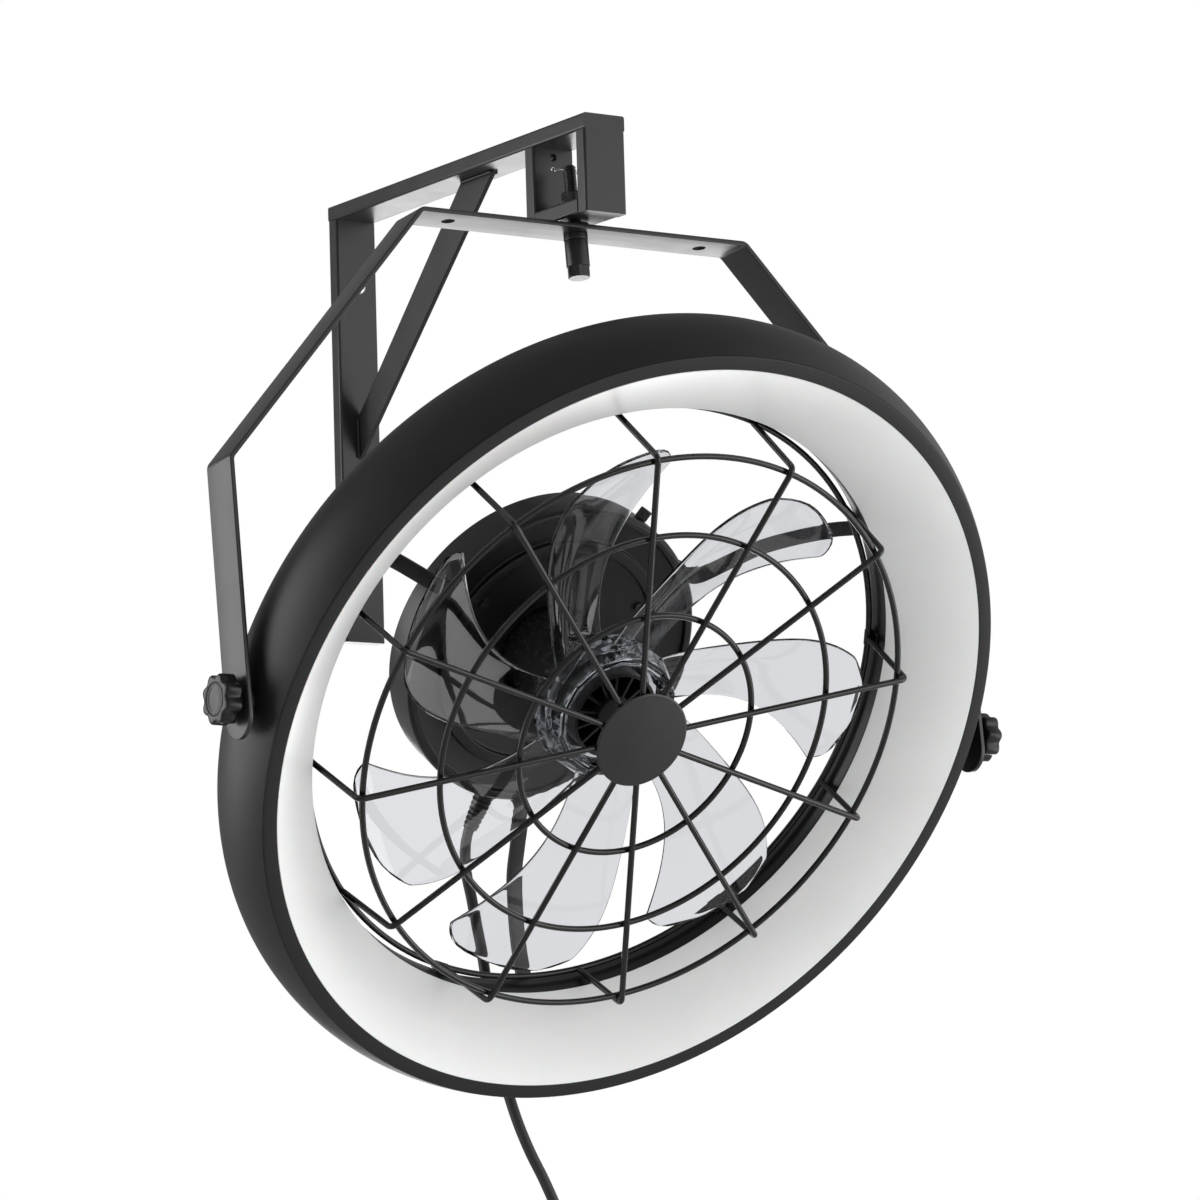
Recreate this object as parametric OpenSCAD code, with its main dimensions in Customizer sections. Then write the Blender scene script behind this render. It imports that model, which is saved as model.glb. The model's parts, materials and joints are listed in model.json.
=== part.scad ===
// Wall mounted fan: a ring lamp with a wire grille and a clear impeller, hung in a yoke
// under a steel wall bracket. Millimetres, +Z up, the wall is the plane y = 0 and the fan
// faces -Y. The origin is midway between the two wall screws, in the wall plane.

/* [Bracket] */
// Width of the bracket's flat bars
bar_w = 30; // [24:1:40]
// Thickness of the bracket's flat bars
bar_t = 10; // [8:0.5:12]
// Rounding of the bars' long edges
bar_edge_r = 1.5; // [0.5:0.25:3]
// Top of the bracket above the origin
bracket_top = 145; // [135:1:160]
// Bottom of the wall bar below the origin
bracket_low = 145; // [120:1:180]
// How far the top bar stands out from the wall
arm_reach = 305; // [300:1:340]
// Depth of the square frame under the arm's end
box_depth = 67.6; // [60:0.2:80]
// Height of that frame
box_h = 61.5; // [58:0.5:75]
// Small hole in the frame's rear plate
box_hole_d = 5; // [3:0.5:7]
// Thickness of the diagonal brace
brace_t = 3; // [2:0.5:5]
// Near edge of the brace on the top bar, from the wall
brace_reach = 142.5; // [120:0.5:160]
// Length of the brace's seat under the top bar
brace_seat_top = 38.2; // [30:0.2:50]
// Length of the brace's seat on the wall bar
brace_seat_wall = 28.6; // [20:0.2:40]
// Distance between the two wall screws
screw_pitch = 182; // [150:2:200]
// Diameter of the wall screws
screw_d = 6; // [5:0.5:8]
// Length of a wall screw behind the wall plane
screw_in_wall = 35; // [25:1:50]

/* [Swivel] */
// Lean of the bolt and the yoke from upright, in degrees
lean = 6; // [0:0.5:7]
// Distance of the bolt from the arm's end, where it meets the yoke's top face
swivel_in = 35.6; // [33:0.2:39]
// Gap between the frame's underside and the yoke's top face, at the bolt
swivel_gap = 4.5; // [4.5:0.1:6]
// Diameter of the swivel bolt
bolt_d = 8; // [7:0.5:9]
// Length of the black sleeve under the yoke
sleeve_l = 21; // [15:0.5:26]
// Outer diameter of the sleeve and its collar
sleeve_d = 14.6; // [14:0.2:16]

/* [Yoke] */
// Width of the yoke's flat bar
yoke_w = 28; // [24:1:32]
// Thickness of the yoke's flat bar
yoke_t = 3; // [2.5:0.5:4]
// Gap between the ring's widest place and each arm of the yoke
yoke_side_gap = 5.5; // [5.4:0.1:8.2]
// Length of the straight bar on top
yoke_top_l = 240; // [220:2:260]
// Drop of the two sloping stretches
yoke_slope_h = 166.3; // [150:0.5:180]
// Gap between the ring's widest place and the yoke's top face
yoke_top_gap = 51.1; // [47.1:0.5:71.1]
// Diameter of the two spare holes in the top bar
spare_hole_d = 8.5; // [6:0.5:12]
// Distance between those holes
spare_hole_pitch = 186; // [170:2:200]

/* [Ring lamp] */
// Outer diameter of the ring's flat front lip
ring_d = 500; // [480:2:520]
// Width of that lip
lip_w = 8.7; // [7:0.1:10]
// How far the ring's side swells beyond its lip
ring_swell = 8.9; // [7:0.1:9]
// Height of the lip in front of the tilt pivots
lip_z = 24.1; // [23:0.1:26]
// Height of the ring's widest place, below the pivots
swell_z = 9.5; // [8:0.1:11]
// Width of the rounded back, from its crest to the widest place
back_w = 37.2; // [34:0.2:39]
// Depth of the rounded back
back_h = 42.7; // [38:0.1:46]
// Wall of the ring's shell
ring_wall = 2.5; // [1.5:0.25:3]
// Width of the lamp, from its bore to the lip's outer edge
lamp_w = 51.4; // [50:0.2:51.6]
// Height of the shell's inner end, below the pivots
bead_z = 30; // [29:0.5:32]
// Front height of the black inner band, below the pivots
band_z = 17; // [15:0.5:20]
// Wall of the opal light cover
diffuser_wall = 2; // [1.5:0.25:2.5]
// Number of lamps on the light strip
led_count = 36; // [24:4:48]

/* [Grille] */
// Diameter of the grille's wire
wire_d = 3.8; // [3:0.2:4]
// Number of spokes
spoke_count = 12; // [8:1:16]
// Height of the spokes in front of the pivots
spoke_z = 25; // [24:0.5:28]
// How far inside the rear ring the spokes turn back
turn_in = 6.2; // [5.8:0.2:7]
// Bend radius of a spoke's middle line
spoke_bend_r = 4.5; // [4.5:0.25:6]
// Gap between the lamp's bore and the middle of the rear ring's wire
back_ring_gap = 3.8; // [3.8:0.1:4.2]
// Depth of that ring below the pivots
back_ring_z = 30.9; // [29:0.5:32]
// Radius of the middle front ring, as a share of the spokes' reach
mid_ring_share = 0.705; // [0.64:0.005:0.77]
// Radius of the inner front ring, as a share of the spokes' reach
inner_ring_share = 0.424; // [0.32:0.004:0.5]
// Diameter of the round cap
cap_d = 62; // [54:1:70]

/* [Fan motor] */
// Outer diameter of the motor drum
drum_d = 200; // [190:2:202]
// Depth of the drum
drum_h = 27; // [25:1:32]
// Front rim of the drum, below the pivots
drum_z = 85; // [84:1:90]
// Wall of the drum
drum_wall = 2.5; // [2:0.25:3]
// Diameter of the turning motor can
can_d = 60; // [58:1:62]
// Diameter of the motor shaft
shaft_d = 8; // [7:0.5:9]
// Width of the three support arms
support_w = 10; // [8:0.5:14]
// Thickness of the support arms
support_t = 3; // [2:0.5:3.5]

/* [Impeller] */
// Number of blades
blade_count = 7; // [5:1:9]
// Gap between the blades' tips and the spokes' turn
tip_gap = 13.6; // [10.6:0.5:23.6]
// Radius at which the blades leave the crown
root_r = 45; // [44:0.5:47]
// Thickness of a blade
blade_t = 2; // [1.5:0.25:3]
// Height of the crown
crown_h = 25; // [22:1:25]
// Front of the crown, below the pivots
crown_z = 3; // [2:0.5:4]
// Number of facets round the crown
crown_facets = 14; // [14:14:28]

/* [Knobs] */
// Diameter over a knob's lobes
knob_d = 31; // [27:1:36]
// Length of the lobed part
knob_l = 11.4; // [9:0.2:14]
// Number of lobes
knob_lobes = 8; // [6:1:10]
// Diameter of the inset cap on a knob
knob_cap_d = 19.5; // [15:0.5:21]
// Diameter of the studs that the knobs clamp on
stud_d = 8; // [7:0.5:9]

/* [Mains lead] */
// Diameter of the lead
cord_d = 7; // [6:0.5:7]
// Turns of the coil in each of its two layers
coil_turns = 3; // [2:1:3]
// Radius of the coil's outermost turn
coil_r = 51; // [51:1:56]

/* [Hidden] */
$fn = 96;
// Overrun of every cut
over = 1;
// Gap between seated pieces
seat = 0.3;
// Gap between clamped faces that must turn
slip = 0.2;
// Radial clearance of a turning pin
run = 0.06;
// Radial clearance of a screw in a plain hole
free = 0.3;

// Bracket
swivel_reach = arm_reach - swivel_in;
bar_under = bracket_top - bar_t;
box_low = bracket_top - box_h;
box_back = arm_reach - box_depth;
screw_head_r = 0.95 * screw_d;
screw_head_h = 0.6 * screw_d;
screw_tip_l = screw_d;
screw_neck_r = 0.4 * screw_d;
// The thread starts this far behind the wall plane
thread_in = 0.5;
recess_w = 0.18 * screw_d;
recess_l = 1.1 * screw_d;
brace_top_z = bar_under;
// Steepness of the brace's near edge, in degrees
brace_slope = 44.6;
brace_mid_z = brace_top_z - (brace_reach - bar_t) * tan(brace_slope);
box_hole_z = bar_under - 0.09 * box_h;

// Swivel, in the leaned frame whose origin is on the yoke's top face
swivel_z = box_low - swivel_gap;
bolt_r = bolt_d / 2;
bolt_head_af = 1.625 * bolt_d;
bolt_head_h = 7.5;
bolt_above = 41.5;
collar_h = 5.7;
washer_r = 9;
washer_t = 3;
inner_washer_z = (bar_t + swivel_gap + washer_r * sin(lean) + seat) / cos(lean);
inner_washer_t = 1.6;
plate_hole_room = 1.5;
plate_hole_r = bolt_r + plate_hole_room;
plate_hole_y = swivel_reach - (swivel_gap + bar_t / 2) * tan(lean);
nut_h = 0.8 * bolt_d;
pin_r = 1;
pin_down = 3;
pin_z = bolt_above - pin_down;
pin_out = 12;
pin_back = 6;
pin_eye_r = 1.9;

// Yoke, in the leaned frame
lip_r = ring_d / 2;
yoke_inner_x = lip_r + ring_swell + yoke_side_gap;
yoke_x = yoke_inner_x + yoke_t;
yoke_span = 2 * yoke_x;
pivot_drop = lip_r + ring_swell + yoke_top_gap;
yoke_tail = 9;
yoke_end = pivot_drop + yoke_w / 2 + yoke_tail;
yoke_bend_r = 7;

// Head frame: origin at the tilt pivots, z along the fan's axis to the front
tilt_rest = 33.43;
pivot_y = -swivel_reach - pivot_drop * sin(lean);
pivot_z = swivel_z - pivot_drop * cos(lean);
crest_r = lip_r + ring_swell - back_w;
ring_bore_r = lip_r - lamp_w;
bead_w = crest_r - ring_bore_r - ring_wall / 6;
bead_h = swell_z + back_h - bead_z;
band_w = ring_wall;
diffuser_face_w = diffuser_wall * 1.45;
diffuser_face_h = diffuser_wall * 1.4;
led_w = 10;
led_t = 1.2;
led_chip = 5;
led_chip_h = 1;
led_r = lip_r + ring_swell - ring_wall - 2 * seat;

// Tilt pivots
stud_r = stud_d / 2;
bush_wall = 4;
bush_r = stud_r + bush_wall;
stud_in = 16;
boss_r = 9;
knob_collar_h = 3;
knob_collar_r = 8.8;
knob_face = yoke_x + slip + knob_collar_h + knob_l;
knob_bore_l = knob_collar_h + 0.6 * knob_l;
knob_cap_h = 2;
knob_lobe_r = 0.2 * knob_d;

// Grille
wire_r = wire_d / 2;
back_ring_r = ring_bore_r - back_ring_gap;
grille_r = back_ring_r - turn_in;
mid_ring_r = mid_ring_share * grille_r;
inner_ring_r = inner_ring_share * grille_r;
spoke_in = 0.45 * cap_d / 2;
// A bend is this much thicker than the straight wire
bend_swell = wire_r / 64;
leg_out = atan((back_ring_r - grille_r) / (spoke_z + back_ring_z));
spoke_turn = 90 - leg_out;
bend_tangent = spoke_bend_r * tan(spoke_turn / 2);
leg_l = (spoke_z + back_ring_z) / cos(leg_out) - bend_tangent - wire_r - slip;
outer_ring_r = grille_r - bend_tangent - seat;
front_ring_z = spoke_z - wire_d - slip;
outer_ring_z = front_ring_z;
cap_t = 1.6;
cap_edge = 0.5;
backplate_r = 0.8 * cap_d / 2;
clip_w = 12;
clip_t = 1.5;
clip_count = 6;
clip_in = back_ring_r - wire_d;

// Drum
drum_r = drum_d / 2;
drum_back = drum_z + drum_h;
drum_edge = 2;
rim_w = 6;
step_h = 4;
raised_r = 0.78 * drum_r;
raised_w = 7;
neck_gap = 2.5;
can_r = can_d / 2;
face_in = 8;
face_z = drum_z + face_in;
cover_t = 2.5;
cover_screw_r = 0.86 * drum_r;
cover_boss_r = 4;
small_screw_r = 1.5;
small_head_r = 3;
small_head_h = 1.8;
face_screw_r = 0.65 * drum_r;
face_screw_a = 152.6;
knurl_r = 4;
knurl_l = 7;
thumb_a = 65.4;
thumb_z = drum_z + drum_h / 2;
support_angles = [36, 156, 276];
support_kink_in = 48.6;
support_kink_r = ring_bore_r - support_kink_in;
support_kink_z = 84;
support_foot = 20;
support_end_z = 42;
arm_screw_pitch = 6;
arm_screw_l = 6;

// Motor
shaft_r = shaft_d / 2;
can_front = 30;
can_plate = 3;
can_wall = 3;
can_in = 15;
can_rear = drum_z + can_in;
tube_gap = 6.5;
tube_front = can_front + can_plate + tube_gap;
bearing_w = 7;
bearing_r = shaft_r + bearing_w;
bearing_h = 7;
tube_wall = 2.5;
tube_r = bearing_r + tube_wall;
tube_foot_w = 6;
tube_foot_r = tube_r + tube_foot_w;
tube_foot_h = 3;
stator_front = 55;
stator_back = 85;
magnet_t = 2.4;
magnet_r = can_r - can_wall;
stator_r = magnet_r - magnet_t - 2 * seat;
stator_teeth = 9;
slot_w = 4;
stator_ring_w = 4;
slot_in = tube_r + stator_ring_w;
boss_h = 6;
hub_boss_r = 9;
shaft_gap = 3;
shaft_back = drum_back - cover_t - shaft_gap;
driver_l = 46;
driver_w = 26;
driver_h = 12;
board_l = 50;
board_w = 34;
board_t = 1.6;
board_post_r = 2.5;
board_post_h = 5;
board_at = 0.62 * drum_r;

// Impeller and hub
crown_gap = 3;
crown_in_r = can_r + crown_gap;
crown_bevel_share = 0.4;
crown_top_r = 0.89 * root_r;
hub_flange_h = 2;
hub_wall_r = 28;
hub_wall_t = 2;
hub_core_r = 12;
rib_t = 1.6;
hub_in = 2;
hub_front = crown_z + hub_in;
tip_r = grille_r - tip_gap;
mid_r = (tip_r + root_r) / 2;
half_span = (tip_r - root_r) / 2;
// Angles of the leading and trailing edges, as cubics of the place along the blade
lead_deg = [105.6, -13.7, -5.5, 4.1];
trail_deg = [134.4, -12.1, 3.1, -8.7];
lead_root_z = -21;
lead_rise = 3.8;
trail_root_z = -7.1;
trail_rise = 14.2;
tip_round = 12;
blade_embed = 2;
across_shares = [0, 0.03, 0.1, 0.22, 0.36, 0.5, 0.64, 0.78, 0.9, 0.97, 1];
along_steps = 9;

// Mains lead: the free stretch runs in these steps from the relief's mouth
cord_r = cord_d / 2;
gland_a = -96;
gland_z = 98;
gland_l = 27;
gland_flange_r = 8;
gland_flange_h = 2;
gland_wide_r = 6.5;
gland_mouth_w = 1.3;
gland_mouth_r = cord_r + gland_mouth_w;
cord_sides = 10;
// Depth of the lead's first point in the relief's mouth
cord_in = 6.7;
// Lip radius for which the lead's steps are given
cord_lip_r = 250;
cord_steps = [
    [0, 0, 0], [-1, 4, -6], [0, 10, -17], [4, 16, -32],
    [10, 20, -48], [15, 23, -65], [20, 25, -83], [24, 27, -101],
    [28, 29, -119], [32, 30, -137], [36, 31, -155], [41, 30, -173],
    [46, 28, -190], [52, 25, -207], [59, 22, -223], [65, 19, -239],
    [71, 16, -256], [77, 14, -273], [80, 13, -290], [80, 13, -308]
];
cord_from = head_place([
    (drum_r + slip + gland_l - cord_in) * cos(gland_a),
    (drum_r + slip + gland_l - cord_in) * sin(gland_a),
    -gland_z
]);
cord_points = [for (p = cord_steps) cord_from + p * lip_r / cord_lip_r];
// The coil hangs on the lead's end, with its axis level along Y
coil_sides = 6;
coil_steps = 24;
turn_gap = 0.6;
layer_gap = 0.8;
coil_pitch = cord_d + turn_gap;
layer_pitch = cord_d + layer_gap;
coil_top = cord_points[len(cord_points) - 1];
coil_x = coil_top.x - coil_r;
coil_z = coil_top.z - cord_d;
tie_w = 8;
tie_t = 1.2;
tie_gap = 0.5;
plug_l = 34;
plug_w = 24;
plug_t = 16;
plug_neck_l = 30;
plug_neck_r = 6.2;
pin_pitch = 12.7;
pin_l = 16;
pin_w = 6.3;
pin_t = 1.5;

// Place in the row frame of a point given in the head's frame
function head_place(p) = [
    p.x,
    pivot_y + p.y * cos(90 + tilt_rest) - p.z * sin(90 + tilt_rest),
    pivot_z + p.y * sin(90 + tilt_rest) + p.z * cos(90 + tilt_rest)
];
function unit(v) = v / norm(v);
function left_of(v) = [-v.y, v.x];
function turned(v, a) = [v.x * cos(a) - v.y * sin(a), v.x * sin(a) + v.y * cos(a)];
function mitre(a, b) = (a + b) / (1 + a * b);
function side_at(p, i) =
    i == 0 ? left_of(unit(p[1] - p[0]))
    : i == len(p) - 1 ? left_of(unit(p[i] - p[i - 1]))
    : mitre(left_of(unit(p[i] - p[i - 1])), left_of(unit(p[i + 1] - p[i])));
// Outline of a bent strip whose one face follows the points
function strip(p, t) =
    concat(p, [for (i = [len(p) - 1:-1:0]) p[i] + t * side_at(p, i)]);
// Points of a round bend of radius r at the corner k between a and b
function bend(a, k, b, r, n = 5) =
    let (
        e = unit(k - a),
        f = unit(b - k),
        turn = atan2(e.x * f.y - e.y * f.x, e * f),
        cut = r * tan(abs(turn) / 2),
        arm = left_of(e) * r * sign(turn)
    )
    [for (i = [0:n]) k - e * cut + arm + turned(-arm, turn * i / n)];
function cubic(c, s) = c[0] + c[1] * s + c[2] * s * s + c[3] * s * s * s;
function pull(a, b, t) = a + (b - a) * t;

// Frame of the leaned swivel bolt and the yoke
module leaned() {
    translate([0, -swivel_reach, swivel_z]) rotate([-lean, 0, 0]) children();
}

// Frame of the head, at its rest tilt
module on_head() {
    translate([0, pivot_y, pivot_z]) rotate([90 + tilt_rest, 0, 0]) children();
}

// Places the children at an angle and radius on the head, with x pointing outwards
module at_angle(a, r = 0, z = 0) {
    rotate(a) translate([r, 0, z]) children();
}

// Turns a drawing of radius and height upright, extruded across
module radial_plate(w) {
    rotate([90, 0, 0]) linear_extrude(w, center = true) children();
}

module rounded_rect(w, h, r) {
    square([w - 2 * r, h], center = true);
    square([w, h - 2 * r], center = true);
    for (x = [-1, 1], y = [-1, 1])
        translate([x * (w / 2 - r), y * (h / 2 - r)]) circle(r, $fn = 32);
}

// Upright length of bracket bar, its middle line at x = 0, between two heights
module upright_bar(y_near, z_low, z_high) {
    translate([0, y_near - bar_t / 2, z_low])
        linear_extrude(z_high - z_low) rounded_rect(bar_w, bar_t, bar_edge_r);
}

// Level length of bracket bar, between two distances from the wall
module level_bar(z_low, near, far) {
    translate([0, -near, z_low + bar_t / 2]) rotate([90, 0, 0])
        linear_extrude(far - near) rounded_rect(bar_w, bar_t, bar_edge_r);
}

module screw(d, head_r, head_h, l) {
    cylinder(h = l, r = d / 2, $fn = 32);
    translate([0, 0, -head_h]) cylinder(h = head_h, r = head_r, $fn = 48);
}

module cross_recess(w, l, depth) {
    for (a = [0, 90])
        rotate(a) translate([-l / 2, -w / 2, -over]) cube([l, w, depth + over]);
}

module hex_prism(af, h) {
    cylinder(h = h, r = af / 2 / cos(30), $fn = 6);
}

module wall_upright() {
    color([0.13, 0.13, 0.13]) difference() {
        upright_bar(0, -bracket_low, bar_under);
        for (z = [-1, 1])
            translate([0, over, z * screw_pitch / 2]) rotate([90, 0, 0])
                cylinder(h = bar_t + 2 * over, r = screw_d / 2 + free, $fn = 48);
    }
}

module top_arm() {
    color([0.13, 0.13, 0.13]) level_bar(bar_under, 0, arm_reach);
}

module box_front_plate() {
    color([0.13, 0.13, 0.13]) upright_bar(-arm_reach + bar_t, box_low, bar_under);
}

module box_bottom_plate() {
    color([0.13, 0.13, 0.13]) difference() {
        level_bar(box_low, box_back + bar_t, arm_reach - bar_t);
        translate([0, -plate_hole_y, box_low - over])
            cylinder(h = bar_t + 2 * over, r = plate_hole_r, $fn = 48);
    }
}

module box_rear_plate() {
    color([0.13, 0.13, 0.13]) difference() {
        upright_bar(-box_back, box_low, bar_under);
        translate([0, -box_back + over, box_hole_z]) rotate([90, 0, 0])
            cylinder(h = bar_t + 2 * over, r = box_hole_d / 2, $fn = 48);
    }
}

module diagonal_brace() {
    brace_low = brace_mid_z - brace_seat_wall;
    color([0.12, 0.12, 0.12])
        rotate([90, 0, 90]) linear_extrude(brace_t, center = true) polygon([
            [-brace_reach - brace_seat_top, brace_top_z],
            [-brace_reach, brace_top_z],
            [-bar_t, brace_mid_z],
            [-bar_t, brace_low]
        ]);
}

module wall_screws() {
    thread_l = screw_in_wall - screw_tip_l - thread_in;
    color([0.8, 0.8, 0.8]) for (z = [-1, 1])
        translate([0, -bar_t, z * screw_pitch / 2]) rotate([-90, 0, 0]) difference() {
            union() {
                screw(2 * screw_neck_r, screw_head_r, screw_head_h, bar_t + thread_in);
                translate([0, 0, bar_t + thread_in])
                    cylinder(h = thread_l, r = screw_d / 2, $fn = 64);
                translate([0, 0, bar_t + thread_in + thread_l])
                    cylinder(h = screw_tip_l, r1 = screw_d / 2, r2 = screw_d / 8, $fn = 32);
            }
            translate([0, 0, -screw_head_h])
                cross_recess(recess_w, recess_l, screw_head_h / 2);
        }
}

module swivel_bolt() {
    under = yoke_t + slip + collar_h + sleeve_l;
    color([0.1, 0.1, 0.1]) leaned() difference() {
        union() {
            translate([0, 0, -under - bolt_head_h]) hex_prism(bolt_head_af, bolt_head_h);
            translate([0, 0, -under]) cylinder(h = under + bolt_above, r = bolt_r, $fn = 64);
        }
        translate([-bolt_d, 0, pin_z]) rotate([0, 90, 0])
            cylinder(h = 2 * bolt_d, r = pin_r + run, $fn = 32);
    }
}

module spacer_sleeve() {
    color([0.07, 0.07, 0.07]) leaned()
        translate([0, 0, -yoke_t - slip - collar_h - sleeve_l]) difference() {
            cylinder(h = sleeve_l, r = sleeve_d / 2);
            translate([0, 0, -over]) cylinder(h = sleeve_l + 2 * over, r = bolt_r + run);
        }
}

module swivel_collar() {
    color([0.1, 0.1, 0.1]) leaned()
        translate([0, 0, -yoke_t - slip - collar_h]) difference() {
            hex_prism(sleeve_d * cos(30), collar_h);
            translate([0, 0, -over]) cylinder(h = collar_h + 2 * over, r = bolt_r + run);
        }
}

module swivel_washers() {
    color([0.12, 0.12, 0.12]) leaned()
        for (w = [[slip, washer_t], [inner_washer_z, inner_washer_t]])
            translate([0, 0, w[0]]) difference() {
                cylinder(h = w[1], r = washer_r);
                translate([0, 0, -over]) cylinder(h = w[1] + 2 * over, r = bolt_r + run);
            }
}

module swivel_nut() {
    color([0.1, 0.1, 0.1]) leaned()
        translate([0, 0, inner_washer_z + inner_washer_t]) difference() {
            hex_prism(bolt_head_af, nut_h);
            translate([0, 0, -over]) cylinder(h = nut_h + 2 * over, r = bolt_r + run);
        }
}

module split_pin() {
    neck_a = 180 - asin(pin_r / pin_eye_r);
    color([0.85, 0.85, 0.85]) leaned() translate([-pin_out, 0, pin_z]) rotate([0, 90, 0])
        rotate_extrude($fn = 32) polygon(concat(
            [for (i = [0:6])
                pin_eye_r * [sin(neck_a * i / 6), -cos(neck_a * i / 6)]],
            [[pin_r, pin_out + pin_back], [0, pin_out + pin_back]]));
}

// The yoke is one flat bar bent four times; its arm ends are half round
module yoke() {
    low = -yoke_end + yoke_w / 2;
    knee = [yoke_x, -yoke_slope_h];
    shoulder = [yoke_top_l / 2, 0];
    tip = [yoke_x, -yoke_end - over];
    right = concat(bend([0, 0], shoulder, knee, yoke_bend_r),
        bend(shoulder, knee, tip, yoke_bend_r), [tip]);
    left = [for (i = [len(right) - 1:-1:0]) [-right[i].x, right[i].y]];
    color([0.12, 0.12, 0.12]) leaned() difference() {
        intersection() {
            rotate([90, 0, 0]) linear_extrude(yoke_w, center = true)
                polygon(strip(concat(left, right), -yoke_t));
            rotate([90, 0, 90]) linear_extrude(yoke_span + over, center = true) union() {
                translate([0, low]) circle(yoke_w / 2, $fn = 64);
                translate([-yoke_w / 2, low]) square([yoke_w, -low + over]);
            }
        }
        translate([0, 0, -yoke_t - over])
            cylinder(h = yoke_t + 2 * over, r = bolt_r + run, $fn = 64);
        for (x = [-1, 1])
            translate([x * spare_hole_pitch / 2, 0, -yoke_t - over])
                cylinder(h = yoke_t + 2 * over, r = spare_hole_d / 2, $fn = 48);
        translate([-yoke_x - over, 0, -pivot_drop]) rotate([0, 90, 0])
            cylinder(h = yoke_span + 2 * over, r = stud_r + run, $fn = 64);
    }
}

// Half section of the ring's shell, as radius and height, one skin of it set in by w
function shell_skin(w) = concat(
    [for (a = [0:15:90])
        [lip_r - w + ring_swell * sin(a) * sin(a),
            lip_z - w - (lip_z + swell_z - w) * (1 - cos(a))]],
    [for (b = [9:9:90])
        [crest_r + (back_w - w) * cos(b), -swell_z - (back_h - w) * sin(b)]],
    [for (c = [15:15:90])
        [crest_r - (bead_w - w) * sin(c), -bead_z - (bead_h - w) * cos(c)]]
);

// Radius of the shell's skin at a place on its inner back curve
function shell_back_r(z) = crest_r - bead_w * sqrt(1 - pow((z - bead_z) / bead_h, 2));

module ring_shell() {
    outer = shell_skin(0);
    inner = shell_skin(ring_wall);
    lip_in = lip_r - lip_w;
    color([0.22, 0.22, 0.22]) on_head() difference() {
        rotate_extrude($fn = 180) polygon(concat(
            [[lip_in, lip_z - ring_wall], [lip_in, lip_z]], outer,
            [for (i = [len(inner) - 1:-1:0]) inner[i]]));
        rotate([0, 90, 0]) cylinder(h = 2 * ring_d, r = stud_r + run, center = true);
    }
}

module inner_band() {
    color([0.06, 0.06, 0.06]) on_head() difference() {
        translate([0, 0, -bead_z])
            cylinder(h = bead_z - band_z, r = ring_bore_r + band_w, $fn = 180);
        translate([0, 0, -bead_z - over])
            cylinder(h = bead_z - band_z + 2 * over, r = ring_bore_r, $fn = 180);
    }
}

module diffuser() {
    outer_r = lip_r - lip_w - seat;
    low = -band_z + seat;
    color([0.95, 0.95, 0.93]) on_head() rotate_extrude($fn = 180) polygon([
        [outer_r, lip_z],
        [ring_bore_r, low],
        [ring_bore_r + diffuser_face_w, low],
        [outer_r, lip_z - diffuser_face_h]
    ]);
}

module led_strip() {
    color([0.9, 0.88, 0.75]) on_head() translate([0, 0, -swell_z]) {
        difference() {
            cylinder(h = led_w, r = led_r, center = true, $fn = 180);
            cylinder(h = led_w + over, r = led_r - led_t, center = true, $fn = 180);
        }
        for (i = [0:led_count - 1])
            at_angle(360 * (i + 0.5) / led_count, led_r - led_t - led_chip_h / 2)
                cube([2 * led_chip_h, led_chip, led_chip], center = true);
    }
}

// Studs of the tilt pivots, each with the square plate that holds it inside the shell
module pivot_studs() {
    color([0.75, 0.75, 0.75]) on_head() for (x = [0, 180]) rotate([0, 0, x]) {
        translate([led_r - led_t - stud_in, 0, 0]) rotate([0, 90, 0])
            cylinder(h = knob_face - 0.45 * knob_l - led_r + led_t + stud_in, r = stud_r);
        translate([led_r - led_t - stud_in / 2, 0, 0])
            cube([stud_in / 2, 2 * boss_r, 2 * boss_r], center = true);
    }
}

module pivot_bushes() {
    in_x = lip_r + ring_swell + seat;
    color([0.08, 0.08, 0.08]) on_head() for (x = [0, 180]) rotate([0, 0, x])
        translate([in_x, 0, 0]) rotate([0, 90, 0]) difference() {
            cylinder(h = yoke_inner_x - slip - in_x, r = bush_r);
            translate([0, 0, -over]) cylinder(h = 2 * bush_r, r = stud_r + run);
        }
}

// One wire runs from the cap to its bend and back to the rear ring
module spoke() {
    arc_r = grille_r - bend_tangent;
    translate([spoke_in, 0, spoke_z]) rotate([0, 90, 0])
        cylinder(h = arc_r - spoke_in, r = wire_r, $fn = 24);
    translate([arc_r, 0, spoke_z - spoke_bend_r]) rotate([90, 0, 0])
        rotate(90 - spoke_turn) rotate_extrude(angle = spoke_turn, $fn = 48)
            translate([spoke_bend_r, 0]) circle(wire_r + bend_swell, $fn = 24);
    translate([grille_r + bend_tangent * sin(leg_out), 0, spoke_z - bend_tangent * cos(leg_out)])
        rotate([0, 180 - leg_out, 0]) cylinder(h = leg_l, r = wire_r, $fn = 24);
}

module wire_ring(r, z) {
    translate([0, 0, z]) rotate_extrude($fn = 144)
        translate([r, 0]) circle(wire_r, $fn = 24);
}

module grille_spokes() {
    color([0.1, 0.1, 0.1]) on_head() for (i = [0:spoke_count - 1])
        rotate(360 * (i + 0.5) / spoke_count) spoke();
}

module grille_rings() {
    color([0.1, 0.1, 0.1]) on_head() {
        wire_ring(outer_ring_r, outer_ring_z);
        wire_ring(mid_ring_r, front_ring_z);
        wire_ring(inner_ring_r, front_ring_z);
    }
}

module grille_back_ring() {
    color([0.1, 0.1, 0.1]) on_head() wire_ring(back_ring_r, -back_ring_z);
}

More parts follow.
